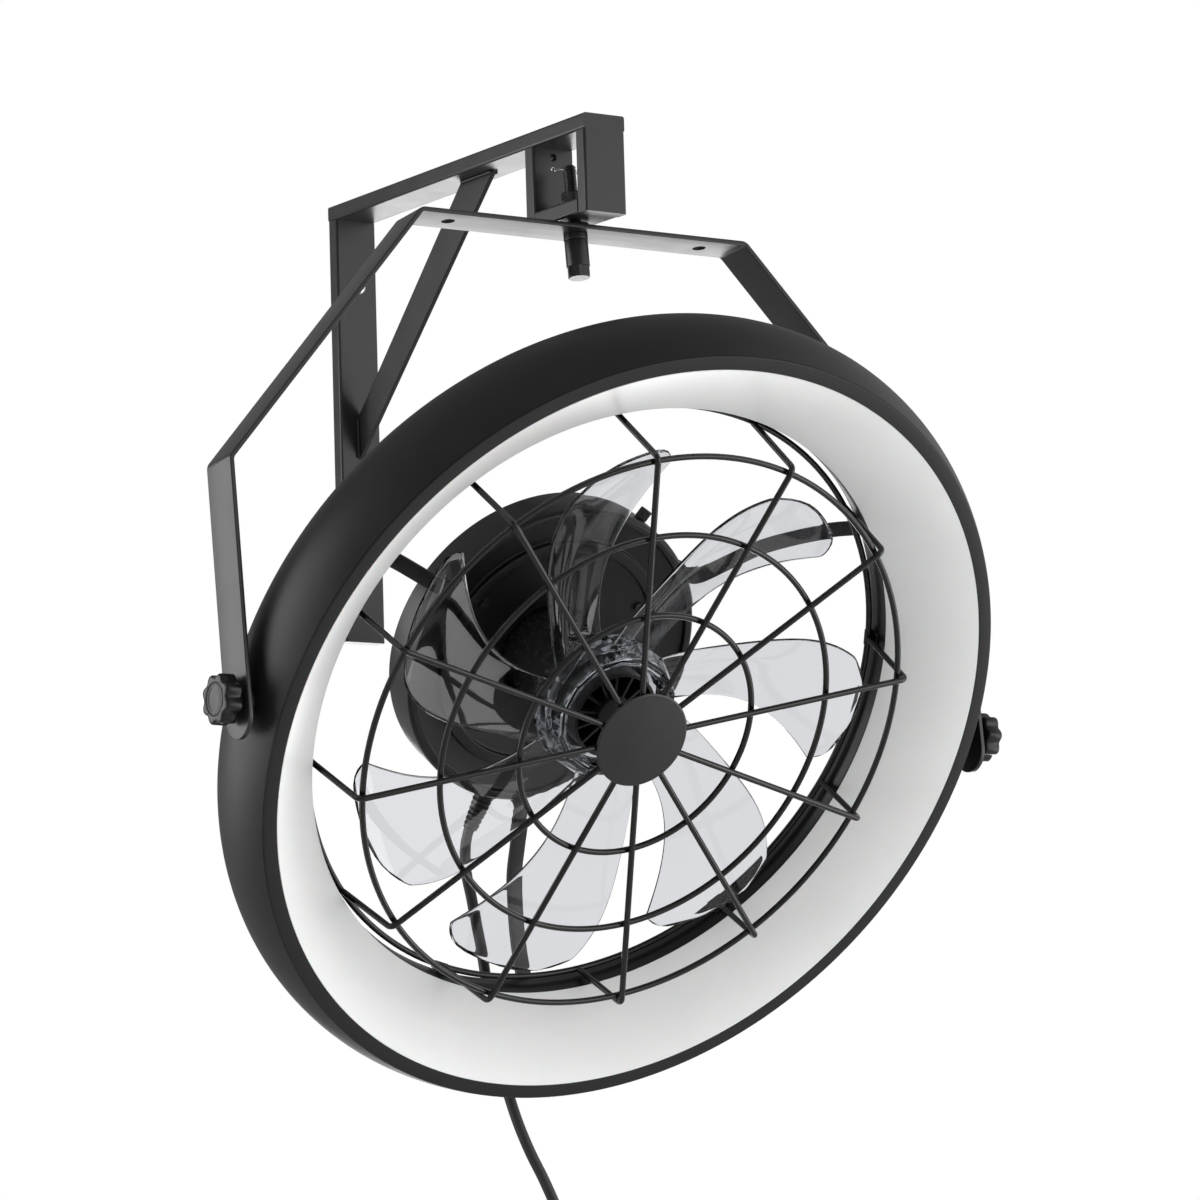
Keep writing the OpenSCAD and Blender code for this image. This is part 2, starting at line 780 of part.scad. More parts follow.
module grille_cap() {
    color([0.2, 0.2, 0.2]) on_head() translate([0, 0, spoke_z + wire_r + slip])
        rotate_extrude() polygon([
            [0, 0], [cap_d / 2, 0], [cap_d / 2, cap_t - cap_edge],
            [cap_d / 2 - cap_edge, cap_t], [0, cap_t]
        ]);
}

// Plate behind the spokes, with the post that ties it to the cap
module grille_backplate() {
    color([0.1, 0.1, 0.1]) on_head() {
        translate([0, 0, spoke_z - wire_r - slip - cap_t]) cylinder(h = cap_t, r = backplate_r);
        translate([0, 0, spoke_z - wire_r - slip - cap_t])
            cylinder(h = cap_t + 2 * slip + wire_d, r = spoke_in / 2);
    }
}

module grille_clips() {
    floor_z = back_ring_z + wire_r + slip;
    out_r = ring_bore_r - seat;
    color([0.08, 0.08, 0.08]) on_head() for (i = [0:clip_count - 1])
        rotate(360 * (i + 0.25) / clip_count) radial_plate(clip_w) polygon([
            [clip_in, -floor_z], [clip_in, -floor_z - clip_t],
            [out_r, -floor_z - clip_t], [out_r, -bead_z + wire_r],
            [out_r - clip_t + seat, -bead_z + wire_r], [out_r - clip_t + seat, -floor_z]
        ]);
}

// A bent flat bar from the drum's side to the back of the ring
module support_arms() {
    foot_r = drum_r + slip;
    end_r = shell_back_r(support_end_z) - 2 * seat;
    line = [
        [foot_r, -drum_z - support_foot],
        [foot_r, -drum_z - support_t],
        [support_kink_r, -support_kink_z],
        [end_r, -support_end_z]
    ];
    bent = concat([line[0]], bend(line[0], line[1], line[2], 1.5 * support_t, 3),
        bend(line[1], line[2], line[3], 2 * support_t, 3), [line[3]]);
    color([0.1, 0.1, 0.1]) on_head() for (a = support_angles) rotate(a) difference() {
        radial_plate(support_w) polygon(strip(bent, -support_t));
        for (k = [0, 1])
            translate([foot_r - over, 0, arm_screw_z(k)]) rotate([0, 90, 0])
                cylinder(h = support_t + 2 * over, r = small_screw_r + free, $fn = 24);
    }
}
function arm_screw_z(k) = -drum_z - support_foot + small_head_r + k * arm_screw_pitch;

module arm_screws() {
    color([0.1, 0.1, 0.1]) on_head() for (a = support_angles, k = [0, 1])
        at_angle(a, drum_r + slip + support_t, arm_screw_z(k)) rotate([0, -90, 0])
            screw(2 * small_screw_r, small_head_r * 0.8, small_head_h, arm_screw_l);
}

module motor_housing() {
    low = -drum_back;
    inner_r = drum_r - drum_wall;
    hole_r = can_r + neck_gap;
    floor_z = -face_z - drum_wall;
    color([0.1, 0.1, 0.1]) on_head() difference() {
        union() {
            rotate_extrude($fn = 144) polygon([
                [inner_r, low], [drum_r, low],
                [drum_r, -drum_z - drum_edge], [drum_r - drum_edge, -drum_z],
                [drum_r - rim_w, -drum_z], [drum_r - rim_w, -drum_z - step_h],
                [raised_r, -drum_z - step_h - drum_edge], [raised_r, -drum_z - drum_edge],
                [raised_r - raised_w, -drum_z - drum_edge],
                [raised_r - raised_w, -face_z + drum_edge],
                [hole_r, -face_z], [hole_r, floor_z],
                [inner_r, floor_z]
            ]);
            for (a = [45:90:315])
                at_angle(a, cover_screw_r, low + cover_t)
                    cylinder(h = floor_z - low - cover_t + over / 2, r = cover_boss_r, $fn = 32);
        }
        for (a = [45:90:315])
            at_angle(a, cover_screw_r, low)
                cylinder(h = drum_h / 2, r = small_screw_r + run, $fn = 24);
        for (a = support_angles, k = [0, 1])
            at_angle(a, inner_r - over, arm_screw_z(k)) rotate([0, 90, 0])
                cylinder(h = drum_wall + 2 * over, r = small_screw_r + run, $fn = 24);
        for (i = [0:2])
            at_angle(face_screw_a + 120 * i, face_screw_r, -face_z - 2 * drum_wall)
                cylinder(h = 4 * drum_wall, r = small_screw_r + run, $fn = 24);
    }
}

module motor_back_cover() {
    color([0.1, 0.1, 0.1]) on_head() translate([0, 0, -drum_back]) difference() {
        cylinder(h = cover_t, r = drum_r - drum_wall - seat, $fn = 144);
        for (a = [45:90:315])
            at_angle(a, cover_screw_r, -over)
                cylinder(h = cover_t + 2 * over, r = small_screw_r + free, $fn = 24);
    }
}

module cover_screws() {
    color([0.6, 0.6, 0.6]) on_head() for (a = [45:90:315])
        at_angle(a, cover_screw_r, -drum_back)
            screw(2 * small_screw_r, small_head_r, small_head_h, drum_h / 3);
}

module housing_screws() {
    color([0.08, 0.08, 0.08]) on_head() for (i = [0:2])
        at_angle(face_screw_a + 120 * i, face_screw_r, face_top_z) rotate([180, 0, 0])
            screw(2 * small_screw_r, small_head_r, small_head_h, 2 * drum_wall);
}
// Height of the dished face under the outer edge of those screws
face_in_r = raised_r - raised_w;
face_place = (face_in_r - face_screw_r - small_head_r) / (face_in_r - can_r - neck_gap);
face_top_z = pull(-face_z + drum_edge, -face_z, face_place) + slip / 2;

module thumb_screw() {
    color([0.1, 0.1, 0.1]) on_head() at_angle(thumb_a, drum_r + slip, -thumb_z)
        rotate([0, 90, 0]) difference() {
            cylinder(h = knurl_l, r = knurl_r, $fn = 48);
            for (i = [0:11])
                at_angle(30 * i, knurl_r, -over)
                    cylinder(h = knurl_l + 2 * over, r = knurl_r / 10, $fn = 16);
        }
}

module bearing_tube() {
    back = -drum_back + cover_t;
    color([0.7, 0.7, 0.7]) on_head() translate([0, 0, back]) difference() {
        union() {
            cylinder(h = -tube_front - back, r = tube_r);
            cylinder(h = tube_foot_h, r = tube_foot_r);
        }
        translate([0, 0, tube_foot_h])
            cylinder(h = -tube_front - back, r = bearing_r + run);
    }
}

module bearings() {
    color([0.75, 0.75, 0.75]) on_head()
        for (z = [-drum_back + cover_t + tube_foot_h + seat, -tube_front - bearing_h])
            translate([0, 0, z]) difference() {
                cylinder(h = bearing_h, r = bearing_r);
                translate([0, 0, -over])
                    cylinder(h = bearing_h + 2 * over, r = shaft_r + run);
            }
}

module stator_core() {
    l = stator_back - stator_front;
    color([0.6, 0.35, 0.2]) on_head() translate([0, 0, -stator_back]) difference() {
        cylinder(h = l, r = stator_r);
        translate([0, 0, -over]) cylinder(h = l + 2 * over, r = tube_r + run);
        for (i = [0:stator_teeth - 1])
            at_angle(360 * i / stator_teeth, slot_in, -over)
                translate([0, -slot_w / 2, 0]) cube([stator_r, slot_w, l + 2 * over]);
    }
}

module led_driver() {
    color([0.9, 0.9, 0.9]) on_head()
        translate([0, -board_at, -drum_back + cover_t + driver_h / 2])
            cube([driver_l, driver_w, driver_h], center = true);
}

module control_board() {
    color([0.1, 0.4, 0.2]) on_head() translate([0, board_at, -drum_back + cover_t]) {
        translate([0, 0, board_post_h + board_t / 2])
            cube([board_l, board_w, board_t], center = true);
        for (x = [-1, 1], y = [-1, 1])
            translate([x * (board_l / 2 - board_post_r), y * (board_w / 2 - board_post_r), 0])
                cylinder(h = board_post_h + board_t / 2, r = board_post_r, $fn = 24);
    }
}

module rotor_can() {
    color([0.07, 0.07, 0.07]) on_head() rotate_extrude($fn = 120) polygon([
        [can_r - can_wall, -can_rear], [can_r, -can_rear], [can_r, -can_front],
        [shaft_r + run / 2, -can_front], [shaft_r + run / 2, -can_front - can_plate - boss_h],
        [hub_boss_r, -can_front - can_plate - boss_h], [hub_boss_r, -can_front - can_plate],
        [can_r - can_wall, -can_front - can_plate]
    ]);
}

module rotor_magnets() {
    l = stator_back - stator_front + 2 * can_wall;
    color([0.25, 0.25, 0.27]) on_head() translate([0, 0, -stator_back - can_wall])
        difference() {
            cylinder(h = l, r = magnet_r - run);
            translate([0, 0, -over]) cylinder(h = l + 2 * over, r = magnet_r - magnet_t);
        }
}

module motor_shaft() {
    color([0.8, 0.8, 0.8]) on_head() translate([0, 0, -shaft_back])
        cylinder(h = shaft_back - can_front, r = shaft_r);
}

// Dark ribbed core between the motor can and the clear crown
module hub_core() {
    low = -can_front;
    h = can_front - hub_front;
    color([0.08, 0.08, 0.08]) on_head() translate([0, 0, low]) {
        cylinder(h = hub_flange_h, r = crown_in_r - seat);
        cylinder(h = h, r = hub_core_r);
        difference() {
            cylinder(h = h, r = hub_wall_r);
            translate([0, 0, hub_flange_h]) cylinder(h = h, r = hub_wall_r - hub_wall_t);
        }
        for (i = [0:crown_facets - 1])
            rotate(360 * i / crown_facets)
                translate([hub_core_r - rib_t, -rib_t / 2, 0])
                    cube([hub_wall_r - hub_core_r, rib_t, h - hub_wall_t]);
    }
}

// Place on a blade's middle surface: s runs from root to tip, w from leading to trailing edge
function blade_r(s, w) =
    let (edge = tip_r - tip_round * pow(abs(2 * w - 1), 4))
    pull(root_r - blade_embed, edge, s);
function blade_place(s, w, side) =
    let (
        r = blade_r(s, w),
        q = (r - mid_r) / half_span,
        a = pull(cubic(lead_deg, q), cubic(trail_deg, q), w),
        g = (r - root_r) / (tip_r - root_r),
        z = pull(lead_root_z + lead_rise * g, trail_root_z + trail_rise * g, w)
    )
    [r * cos(a), r * sin(a), z + side * blade_t / 2];

module blade() {
    m = len(across_shares);
    n = along_steps;
    half = m * (n + 1);
    points = [for (side = [-1, 1], i = [0:n], w = across_shares)
        blade_place(i / n, w, side)];
    skin = [for (i = [0:n - 1], j = [0:m - 2])
        let (a = i * m + j, b = a + m) each [[a, b, b + 1], [a, b + 1, a + 1]]];
    root = [for (j = [0:m - 2]) j];
    top = [for (j = [0:m - 2]) n * m + j];
    walls = concat(
        [for (j = root) each quad(j, j + 1, half)],
        [for (j = top) each quad(j + 1, j, half)],
        [for (i = [0:n - 1]) each quad(i * m + m, i * m, half)],
        [for (i = [0:n - 1]) each quad(i * m + m - 1, (i + 1) * m + m - 1, half)]
    );
    polyhedron(points, concat(
        [for (t = skin) [t[0], t[1], t[2]]],
        [for (t = skin) [t[2] + half, t[1] + half, t[0] + half]],
        walls), convexity = 4);
}
function quad(a, b, up) = [[a, b, b + up], [a, b + up, a + up]];

// Clear moulding of seven swept blades on a faceted crown
module impeller() {
    bevel = crown_bevel_share * crown_h;
    low = -crown_z - crown_h;
    color([0.75, 0.8, 0.85, 0.5]) on_head() union() {
        for (i = [0:blade_count - 1]) rotate(-360 * i / blade_count) blade();
        difference() {
            union() {
                translate([0, 0, low])
                    cylinder(h = crown_h - bevel, r = root_r, $fn = crown_facets);
                translate([0, 0, -crown_z - bevel])
                    cylinder(h = bevel, r1 = root_r, r2 = crown_top_r, $fn = crown_facets);
            }
            translate([0, 0, low - over])
                cylinder(h = crown_h + 2 * over, r = crown_in_r, $fn = 4 * crown_facets);
        }
    }
}

// Lobed clamp knob on its own stud, its collar against the yoke
module knob() {
    ring_r = knob_d / 2 - knob_lobe_r;
    difference() {
        union() {
            cylinder(h = knob_collar_h, r = knob_collar_r, $fn = 64);
            translate([0, 0, knob_collar_h]) linear_extrude(knob_l) {
                circle(ring_r + knob_lobe_r / 2, $fn = 64);
                for (i = [0:knob_lobes - 1])
                    rotate(360 * (i + 0.25) / knob_lobes) translate([ring_r, 0])
                        circle(knob_lobe_r, $fn = 32);
            }
        }
        translate([0, 0, -over]) cylinder(h = knob_bore_l + over, r = stud_r + run, $fn = 64);
        translate([0, 0, knob_collar_h + knob_l - knob_cap_h])
            cylinder(h = knob_cap_h + over, r = knob_cap_d / 2 + run, $fn = 64);
    }
}

module knob_cap() {
    translate([0, 0, knob_collar_h + knob_l - knob_cap_h])
        cylinder(h = knob_cap_h, r = knob_cap_d / 2, $fn = 64);
}

module on_stud(way) {
    on_head() translate([way * (yoke_x + slip), 0, 0]) rotate([0, way * 90, 0]) children();
}

module knob_left() { color([0.07, 0.07, 0.07]) on_stud(-1) knob(); }
module knob_right() { color([0.07, 0.07, 0.07]) on_stud(1) knob(); }
module knob_cap_left() { color([0.16, 0.16, 0.16]) on_stud(-1) knob_cap(); }
module knob_cap_right() { color([0.16, 0.16, 0.16]) on_stud(1) knob_cap(); }

module cord_gland() {
    color([0.05, 0.05, 0.05]) on_head() at_angle(gland_a, drum_r + slip, -gland_z)
        rotate([0, 90, 0]) rotate_extrude($fn = 64) polygon([
            [cord_r + seat, 0], [gland_flange_r, 0], [gland_flange_r, gland_flange_h],
            [gland_wide_r, gland_flange_h], [gland_mouth_r, gland_l], [cord_r + seat, gland_l]
        ]);
}

// Skin of a round tube along a line of points, with the ring's first point towards ref
function along(p, i) = unit(p[min(i + 1, len(p) - 1)] - p[max(i - 1, 0)]);
function tube_points(p, r, n, ref) = [
    for (i = [0:len(p) - 1])
        let (t = along(p, i), u = unit(cross(t, ref)), v = cross(t, u))
        for (k = [0:n - 1]) p[i] + r * (cos(360 * k / n) * u + sin(360 * k / n) * v)
];
function tube_faces(m, n) = concat(
    [for (k = [1:n - 2]) [0, k, k + 1]],
    [for (k = [1:n - 2]) [(m - 1) * n, (m - 1) * n + k + 1, (m - 1) * n + k]],
    [for (i = [0:m - 2], k = [0:n - 1])
        let (a = i * n + k, b = i * n + (k + 1) % n)
        each [[a, a + n, b], [b, a + n, b + n]]]
);
module tube(p, r, n, ref) {
    polyhedron(tube_points(p, r, n, ref), tube_faces(len(p), n), convexity = 10);
}

module cord() {
    color([0.04, 0.04, 0.04]) tube(cord_points, cord_r, cord_sides, [1, 0, 0]);
}

// The coil spirals in over the front layer and out again over the rear one
function coil_radius(t) = coil_r - coil_pitch * (coil_turns - abs(t - coil_turns));
function coil_climb(t) = min(1, max(0, 2 * (t - coil_turns) + 0.5));
function coil_place(t) = [
    coil_x + coil_radius(t) * cos(360 * t),
    coil_top.y + layer_pitch * coil_climb(t),
    coil_z - coil_radius(t) * sin(360 * t)
];
coil_end = [coil_top.x, coil_top.y + layer_pitch, coil_z - cord_d];
coil_path = concat(
    [coil_top],
    [for (i = [0:2 * coil_turns * coil_steps]) coil_place(i / coil_steps)],
    [coil_end]
);
coil_gap = min([
    for (i = [0:len(coil_path) - 1], j = [i + 1:len(coil_path) - 1])
        if (j - i > coil_steps / 2) norm(coil_path[i] - coil_path[j])
]) - cord_d;
echo(coil_gap = coil_gap);

module cord_coil() {
    color([0.04, 0.04, 0.04]) tube(coil_path, cord_r, coil_sides, [0, 1, 0]);
}

// Flat tie round the bundle of turns, at the side away from the lead
module cord_tie() {
    in_r = coil_r - coil_pitch * (coil_turns - 0.5) - cord_r - 2 * tie_gap;
    out_r = coil_r - coil_pitch / 2 + cord_r + tie_gap;
    w = out_r - in_r;
    h = layer_pitch + cord_d + tie_gap;
    color([0.03, 0.03, 0.03])
        translate([coil_x - in_r - w / 2, coil_top.y + layer_pitch / 2, coil_z])
            linear_extrude(tie_w, center = true) difference() {
                rounded_rect(w + 2 * tie_t, h + 2 * tie_t, tie_t);
                square([w, h], center = true);
            }
}

module plug() {
    color([0.04, 0.04, 0.04]) translate(coil_end) {
        translate([0, 0, -plug_neck_l])
            cylinder(h = plug_neck_l, r1 = plug_neck_r, r2 = cord_r + slip, $fn = 48);
        translate([0, 0, -plug_neck_l - plug_l])
            linear_extrude(plug_l) rounded_rect(plug_t, plug_w, plug_t / 4);
    }
}

module plug_pins() {
    color([0.85, 0.8, 0.6]) translate(coil_end)
        translate([0, 0, -plug_neck_l - plug_l - pin_l / 2]) for (y = [-1, 1])
            translate([0, y * pin_pitch / 2, 0]) cube([pin_w, pin_t, pin_l], center = true);
}

wall_upright();
top_arm();
box_front_plate();
box_bottom_plate();
box_rear_plate();
diagonal_brace();
wall_screws();
swivel_bolt();
spacer_sleeve();
swivel_collar();
swivel_washers();
swivel_nut();
split_pin();
yoke();
ring_shell();
inner_band();
diffuser();
led_strip();
pivot_studs();
pivot_bushes();
grille_spokes();
grille_rings();
grille_back_ring();
grille_cap();
grille_backplate();
grille_clips();
support_arms();
arm_screws();
motor_housing();
motor_back_cover();
cover_screws();
housing_screws();
thumb_screw();
bearing_tube();
bearings();
stator_core();
led_driver();
control_board();
rotor_can();
rotor_magnets();
motor_shaft();
hub_core();
impeller();
knob_left();
knob_right();
knob_cap_left();
knob_cap_right();
cord_gland();
cord();
cord_coil();
cord_tie();
plug();
plug_pins();
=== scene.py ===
"""Wall mounted fan: camera, light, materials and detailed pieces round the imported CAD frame."""

import json
import math

import bmesh
import bpy
from mathutils import Matrix, Vector


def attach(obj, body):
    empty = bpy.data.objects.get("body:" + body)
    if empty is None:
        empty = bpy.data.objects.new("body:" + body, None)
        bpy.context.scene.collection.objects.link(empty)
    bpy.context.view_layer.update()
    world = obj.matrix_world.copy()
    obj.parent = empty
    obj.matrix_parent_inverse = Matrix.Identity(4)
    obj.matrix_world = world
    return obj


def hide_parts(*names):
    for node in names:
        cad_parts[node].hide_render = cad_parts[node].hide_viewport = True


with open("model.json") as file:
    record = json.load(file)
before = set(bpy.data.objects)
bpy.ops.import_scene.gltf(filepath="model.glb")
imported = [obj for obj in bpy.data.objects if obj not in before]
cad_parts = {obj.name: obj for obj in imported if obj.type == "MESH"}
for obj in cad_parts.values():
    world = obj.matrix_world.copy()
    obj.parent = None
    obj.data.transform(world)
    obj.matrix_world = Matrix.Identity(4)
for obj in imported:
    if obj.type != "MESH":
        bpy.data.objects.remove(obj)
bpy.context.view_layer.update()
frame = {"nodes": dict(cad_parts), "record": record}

# Camera, solved from the photograph: place in metres, directions in degrees
PHOTO_SIZE = 1200
CAMERA_AT = (-1.8461, -3.0281, -0.6240)
CAMERA_TURN = 33.937
CAMERA_PITCH = 8.089
CAMERA_ROLL = -1.74
FOCAL_PX = 5475.2
SENSOR_MM = 36.0
CAMERA_REACH = 50

# Frames of the head and the yoke, in metres and degrees
LEAN = math.radians(6)
TILT_REST = math.radians(33.43)
SWIVEL_AT = Vector((0, -0.2694, 0.079))
PIVOT_DROP = 0.310
PIVOT_AT = SWIVEL_AT - PIVOT_DROP * Vector((0, math.sin(LEAN), math.cos(LEAN)))
HEAD = Matrix.Translation(PIVOT_AT) @ Matrix.Rotation(math.pi / 2 + TILT_REST, 4, "X")
LEANED = Matrix.Translation(SWIVEL_AT) @ Matrix.Rotation(-LEAN, 4, "X")

# Mains lead: places on its free stretch in millimetres from the relief, its coil in metres
CORD_D = 0.007
CORD_FROM_MM = (-12.5957, -153.995, -275.325)
CORD_STEPS_MM = [
    (0, 0, 0), (-1, 4, -6), (0, 10, -17), (4, 16, -32), (10, 20, -48), (15, 23, -65),
    (20, 25, -83), (24, 27, -101), (28, 29, -119), (32, 30, -137), (36, 31, -155),
    (41, 30, -173), (46, 28, -190), (52, 25, -207), (59, 22, -223), (65, 19, -239),
    (71, 16, -256), (77, 14, -273), (80, 13, -290), (80, 13, -308),
]
COIL_R = 0.051
COIL_TURNS = 3
COIL_PITCH = CORD_D + 0.0006
LAYER_PITCH = CORD_D + 0.0008
COIL_STEPS = 48


def make_camera():
    """Camera at the photograph's viewing angle."""
    turn, pitch, roll = (math.radians(a) for a in (CAMERA_TURN, CAMERA_PITCH, CAMERA_ROLL))
    ahead = Vector((math.sin(turn) * math.cos(pitch), math.cos(turn) * math.cos(pitch),
                    math.sin(pitch)))
    level = Vector((math.cos(turn), -math.sin(turn), 0))
    over = level.cross(ahead)
    right = math.cos(roll) * level + math.sin(roll) * over
    up = -math.sin(roll) * level + math.cos(roll) * over
    data = bpy.data.cameras.new("photo_camera")
    data.sensor_width = SENSOR_MM
    data.lens = FOCAL_PX / PHOTO_SIZE * SENSOR_MM
    data.clip_end = CAMERA_REACH
    cam = bpy.data.objects.new("photo_camera", data)
    cam.matrix_world = Matrix((right, up, -ahead)).transposed().to_4x4()
    cam.location = CAMERA_AT
    bpy.context.scene.collection.objects.link(cam)
    bpy.context.scene.camera = cam


make_camera()

# From millimetres to metres, also on the head and on the leaned yoke
MM = Matrix.Scale(0.001, 4)
HEAD_MM = HEAD @ MM
LEANED_MM = LEANED @ MM

# Meshes: sharp angle in degrees, distances in metres under which points become one
SHARP_DEG = 35
WELD_DIST = 2e-6
SLIVER_DIST = 1e-7


def new_object(name, shape, where=MM, sharp=SHARP_DEG, weld=False):
    """A mesh object from vertices and faces in millimetres, placed in the part's frame."""
    verts, faces = shape
    mesh = bpy.data.meshes.new(name)
    mesh.from_pydata([tuple(v) for v in verts], [], faces)
    mesh.transform(where)
    bm = bmesh.new()
    bm.from_mesh(mesh)
    if weld:
        bmesh.ops.remove_doubles(bm, verts=bm.verts, dist=WELD_DIST)
        bmesh.ops.dissolve_degenerate(bm, edges=bm.edges, dist=SLIVER_DIST)
    bmesh.ops.recalc_face_normals(bm, faces=bm.faces)
    bm.to_mesh(mesh)
    bm.free()
    for p in mesh.polygons:
        p.use_smooth = True
    mesh.set_sharp_from_angle(angle=math.radians(sharp))
    obj = bpy.data.objects.new(name, mesh)
    bpy.context.scene.collection.objects.link(obj)
    return obj


def cut(obj, cutters):
    """Takes the cutters' solids out of a piece and removes them."""
    for tool in cutters:
        mod = obj.modifiers.new("cut", "BOOLEAN")
        mod.operation = "DIFFERENCE"
        mod.solver = "EXACT"
        mod.object = tool
    graph = bpy.context.evaluated_depsgraph_get()
    mesh = bpy.data.meshes.new_from_object(obj.evaluated_get(graph))
    obj.modifiers.clear()
    obj.data = mesh
    mesh.set_sharp_from_angle(angle=math.radians(SHARP_DEG))
    for tool in cutters:
        bpy.data.objects.remove(tool)
    return obj


def dress(obj, body, slot, *nodes):
    """Body, slot, material and replaced nodes of a piece."""
    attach(obj, body)
    if nodes:
        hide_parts(*nodes)
    obj.data.materials.clear()
    obj.data.materials.append(MATERIALS[slot])
    return obj


def piece(name, shape, body, slot, *nodes, where=HEAD_MM, sharp=SHARP_DEG, weld=False):
    """A new object of the part, dressed, in the place of the nodes."""
    return dress(new_object(name, shape, where, sharp, weld), body, slot, *nodes)


def join(*shapes):
    """One shape of several, each a pair of vertices and faces."""
    verts, faces = [], []
    for v, f in shapes:
        faces += [tuple(i + len(verts) for i in face) for face in f]
        verts += list(v)
    return verts, faces


def moved(shape, where):
    return [where @ Vector(v) for v in shape[0]], shape[1]


def turn_z(degrees):
    return Matrix.Rotation(math.radians(degrees), 4, "Z")


def outward(degrees, r, z):
    """Local frame on the head with its z axis pointing away from the fan's axis."""
    return turn_z(degrees) @ Matrix.Translation((r, 0, z)) @ Matrix.Rotation(math.pi / 2, 4, "Y")


def rounded(points, radius, steps=4):
    """Closed outline with its corners rounded; radius is one number or one per corner."""
    nearly_straight, most_of_side = 1.5, 0.45
    out = []
    n = len(points)
    for i in range(n):
        r = radius[i] if isinstance(radius, (list, tuple)) else radius
        p = Vector(points[i])
        u, w = Vector(points[i - 1]) - p, Vector(points[(i + 1) % n]) - p
        half = u.angle(w, math.pi) / 2
        if r <= 0 or half > nearly_straight:
            out.append(tuple(p))
            continue
        longest = most_of_side * min(u.length, w.length)
        reach = min(r / math.tan(half), longest)
        a, b = p + u.normalized() * reach, p + w.normalized() * reach
        for k in range(steps + 1):
            t = k / steps
            out.append(tuple((1 - t) ** 2 * a + 2 * t * (1 - t) * p + t * t * b))
    return out


def rounded_box(wide, high, radius, steps):
    """Outline of a rectangle round its middle, with its corners rounded."""
    x, y = wide / 2, high / 2
    return rounded([(-x, -y), (x, -y), (x, y), (-x, y)], radius, steps)


def turns(n):
    """Angles of n even steps round a circle."""
    return [2 * math.pi * k / n for k in range(n)]


def lathe(profile, steps=96):
    """Ring solid from a closed outline of radius and height."""
    n = len(profile)
    verts, faces = [], []
    for i, a in enumerate(turns(steps)):
        verts += [(r * math.cos(a), r * math.sin(a), z) for r, z in profile]
        j = (i + 1) % steps
        for k in range(n):
            m = (k + 1) % n
            faces.append((i * n + k, j * n + k, j * n + m, i * n + m))
    return verts, faces


def loft(rings, loop=False):
    """Skin over rings of points, closed at both ends unless it loops."""
    m, n = len(rings), len(rings[0])
    verts = [v for ring in rings for v in ring]
    faces = []
    for i in range(m if loop else m - 1):
        j = (i + 1) % m
        for k in range(n):
            q = (k + 1) % n
            faces.append((i * n + k, i * n + q, j * n + q, j * n + k))
    if not loop:
        faces.append(tuple(reversed(range(n))))
        faces.append(tuple((m - 1) * n + k for k in range(n)))
    return verts, faces


def round_loft(levels, steps=96):
    """Loft along z of levels (height, radius function of the angle in degrees)."""
    rings = []
    for z, radius in levels:
        ring = []
        for k in range(steps):
            a = 360 * k / steps
            r = radius(a) if callable(radius) else radius
            ring.append((r * math.cos(math.radians(a)), r * math.sin(math.radians(a)), z))
        rings.append(ring)
    return loft(rings)


def tube(points, radius, sides, ref, closed=False):
    """Round tube along points; ref is a direction that the line never follows."""
    points = [Vector(p) for p in points]
    ref = Vector(ref)
    n = len(points)
    radii = radius if isinstance(radius, (list, tuple)) else [radius] * n
    rings = []
    for i, p in enumerate(points):
        if closed:
            t = points[(i + 1) % n] - points[i - 1]
        else:
            t = points[min(i + 1, n - 1)] - points[max(i - 1, 0)]
        t = t.normalized()
        u = t.cross(ref).normalized()
        w = t.cross(u)
        rings.append([p + radii[i] * (math.cos(a) * u + math.sin(a) * w)
                      for a in turns(sides)])
    return loft(rings, closed)


def circle_line(r, z, steps=180):
    return [(r * math.cos(a), r * math.sin(a), z) for a in turns(steps)]


def smooth_line(points, per_span):
    """Points of a Catmull-Rom curve through the given ones."""
    line = []
    last = len(points) - 1
    for i in range(last):
        a, b, c, d = (points[min(max(j, 0), last)] for j in range(i - 1, i + 3))
        for k in range(per_span):
            t = k / per_span
            line.append(0.5 * ((2 * b) + (c - a) * t + (2 * a - 5 * b + 4 * c - d) * t * t
                               + (3 * b - a - 3 * c + d) * t * t * t))
    line.append(points[-1])
    return line


def lead_path():
    """Centreline of the lead: the free stretch, then a coil that winds inwards, climbs to a
    second layer in half a turn and winds out again."""
    start = Vector(CORD_FROM_MM)
    free = [(start + Vector(p)) / 1000 for p in CORD_STEPS_MM]
    top = free[-1]
    centre = top - Vector((COIL_R, 0, CORD_D))
    coil = []
    for i in range(2 * COIL_TURNS * COIL_STEPS + 1):
        t = i / COIL_STEPS
        r = COIL_R - COIL_PITCH * (COIL_TURNS - abs(t - COIL_TURNS))
        climb = min(1, max(0, 2 * (t - COIL_TURNS) + 0.5))
        a = 2 * math.pi * t
        coil.append(centre + Vector((r * math.cos(a), LAYER_PITCH * climb, -r * math.sin(a))))
    end = coil[-1] - Vector((0, 0, CORD_D))
    return smooth_line(free, 4) + coil + [end]


# Materials

def principled(name, **values):
    """A material with one Principled shader; the values go to its sockets."""
    mat = bpy.data.materials.new(name)
    mat.use_nodes = True
    shader = mat.node_tree.nodes["Principled BSDF"]
    for key, value in values.items():
        shader.inputs[key.replace("_", " ")].default_value = value
    return mat, mat.node_tree, shader


def node(tree, kind, inputs, **settings):
    """A shader node; a socket among the inputs is linked to it, any other value is set."""
    new = tree.nodes.new("ShaderNode" + kind)
    for key, value in settings.items():
        setattr(new, key, value)
    for key, value in inputs.items():
        if isinstance(value, bpy.types.NodeSocket):
            tree.links.new(value, new.inputs[key])
        else:
            new.inputs[key].default_value = value
    return new


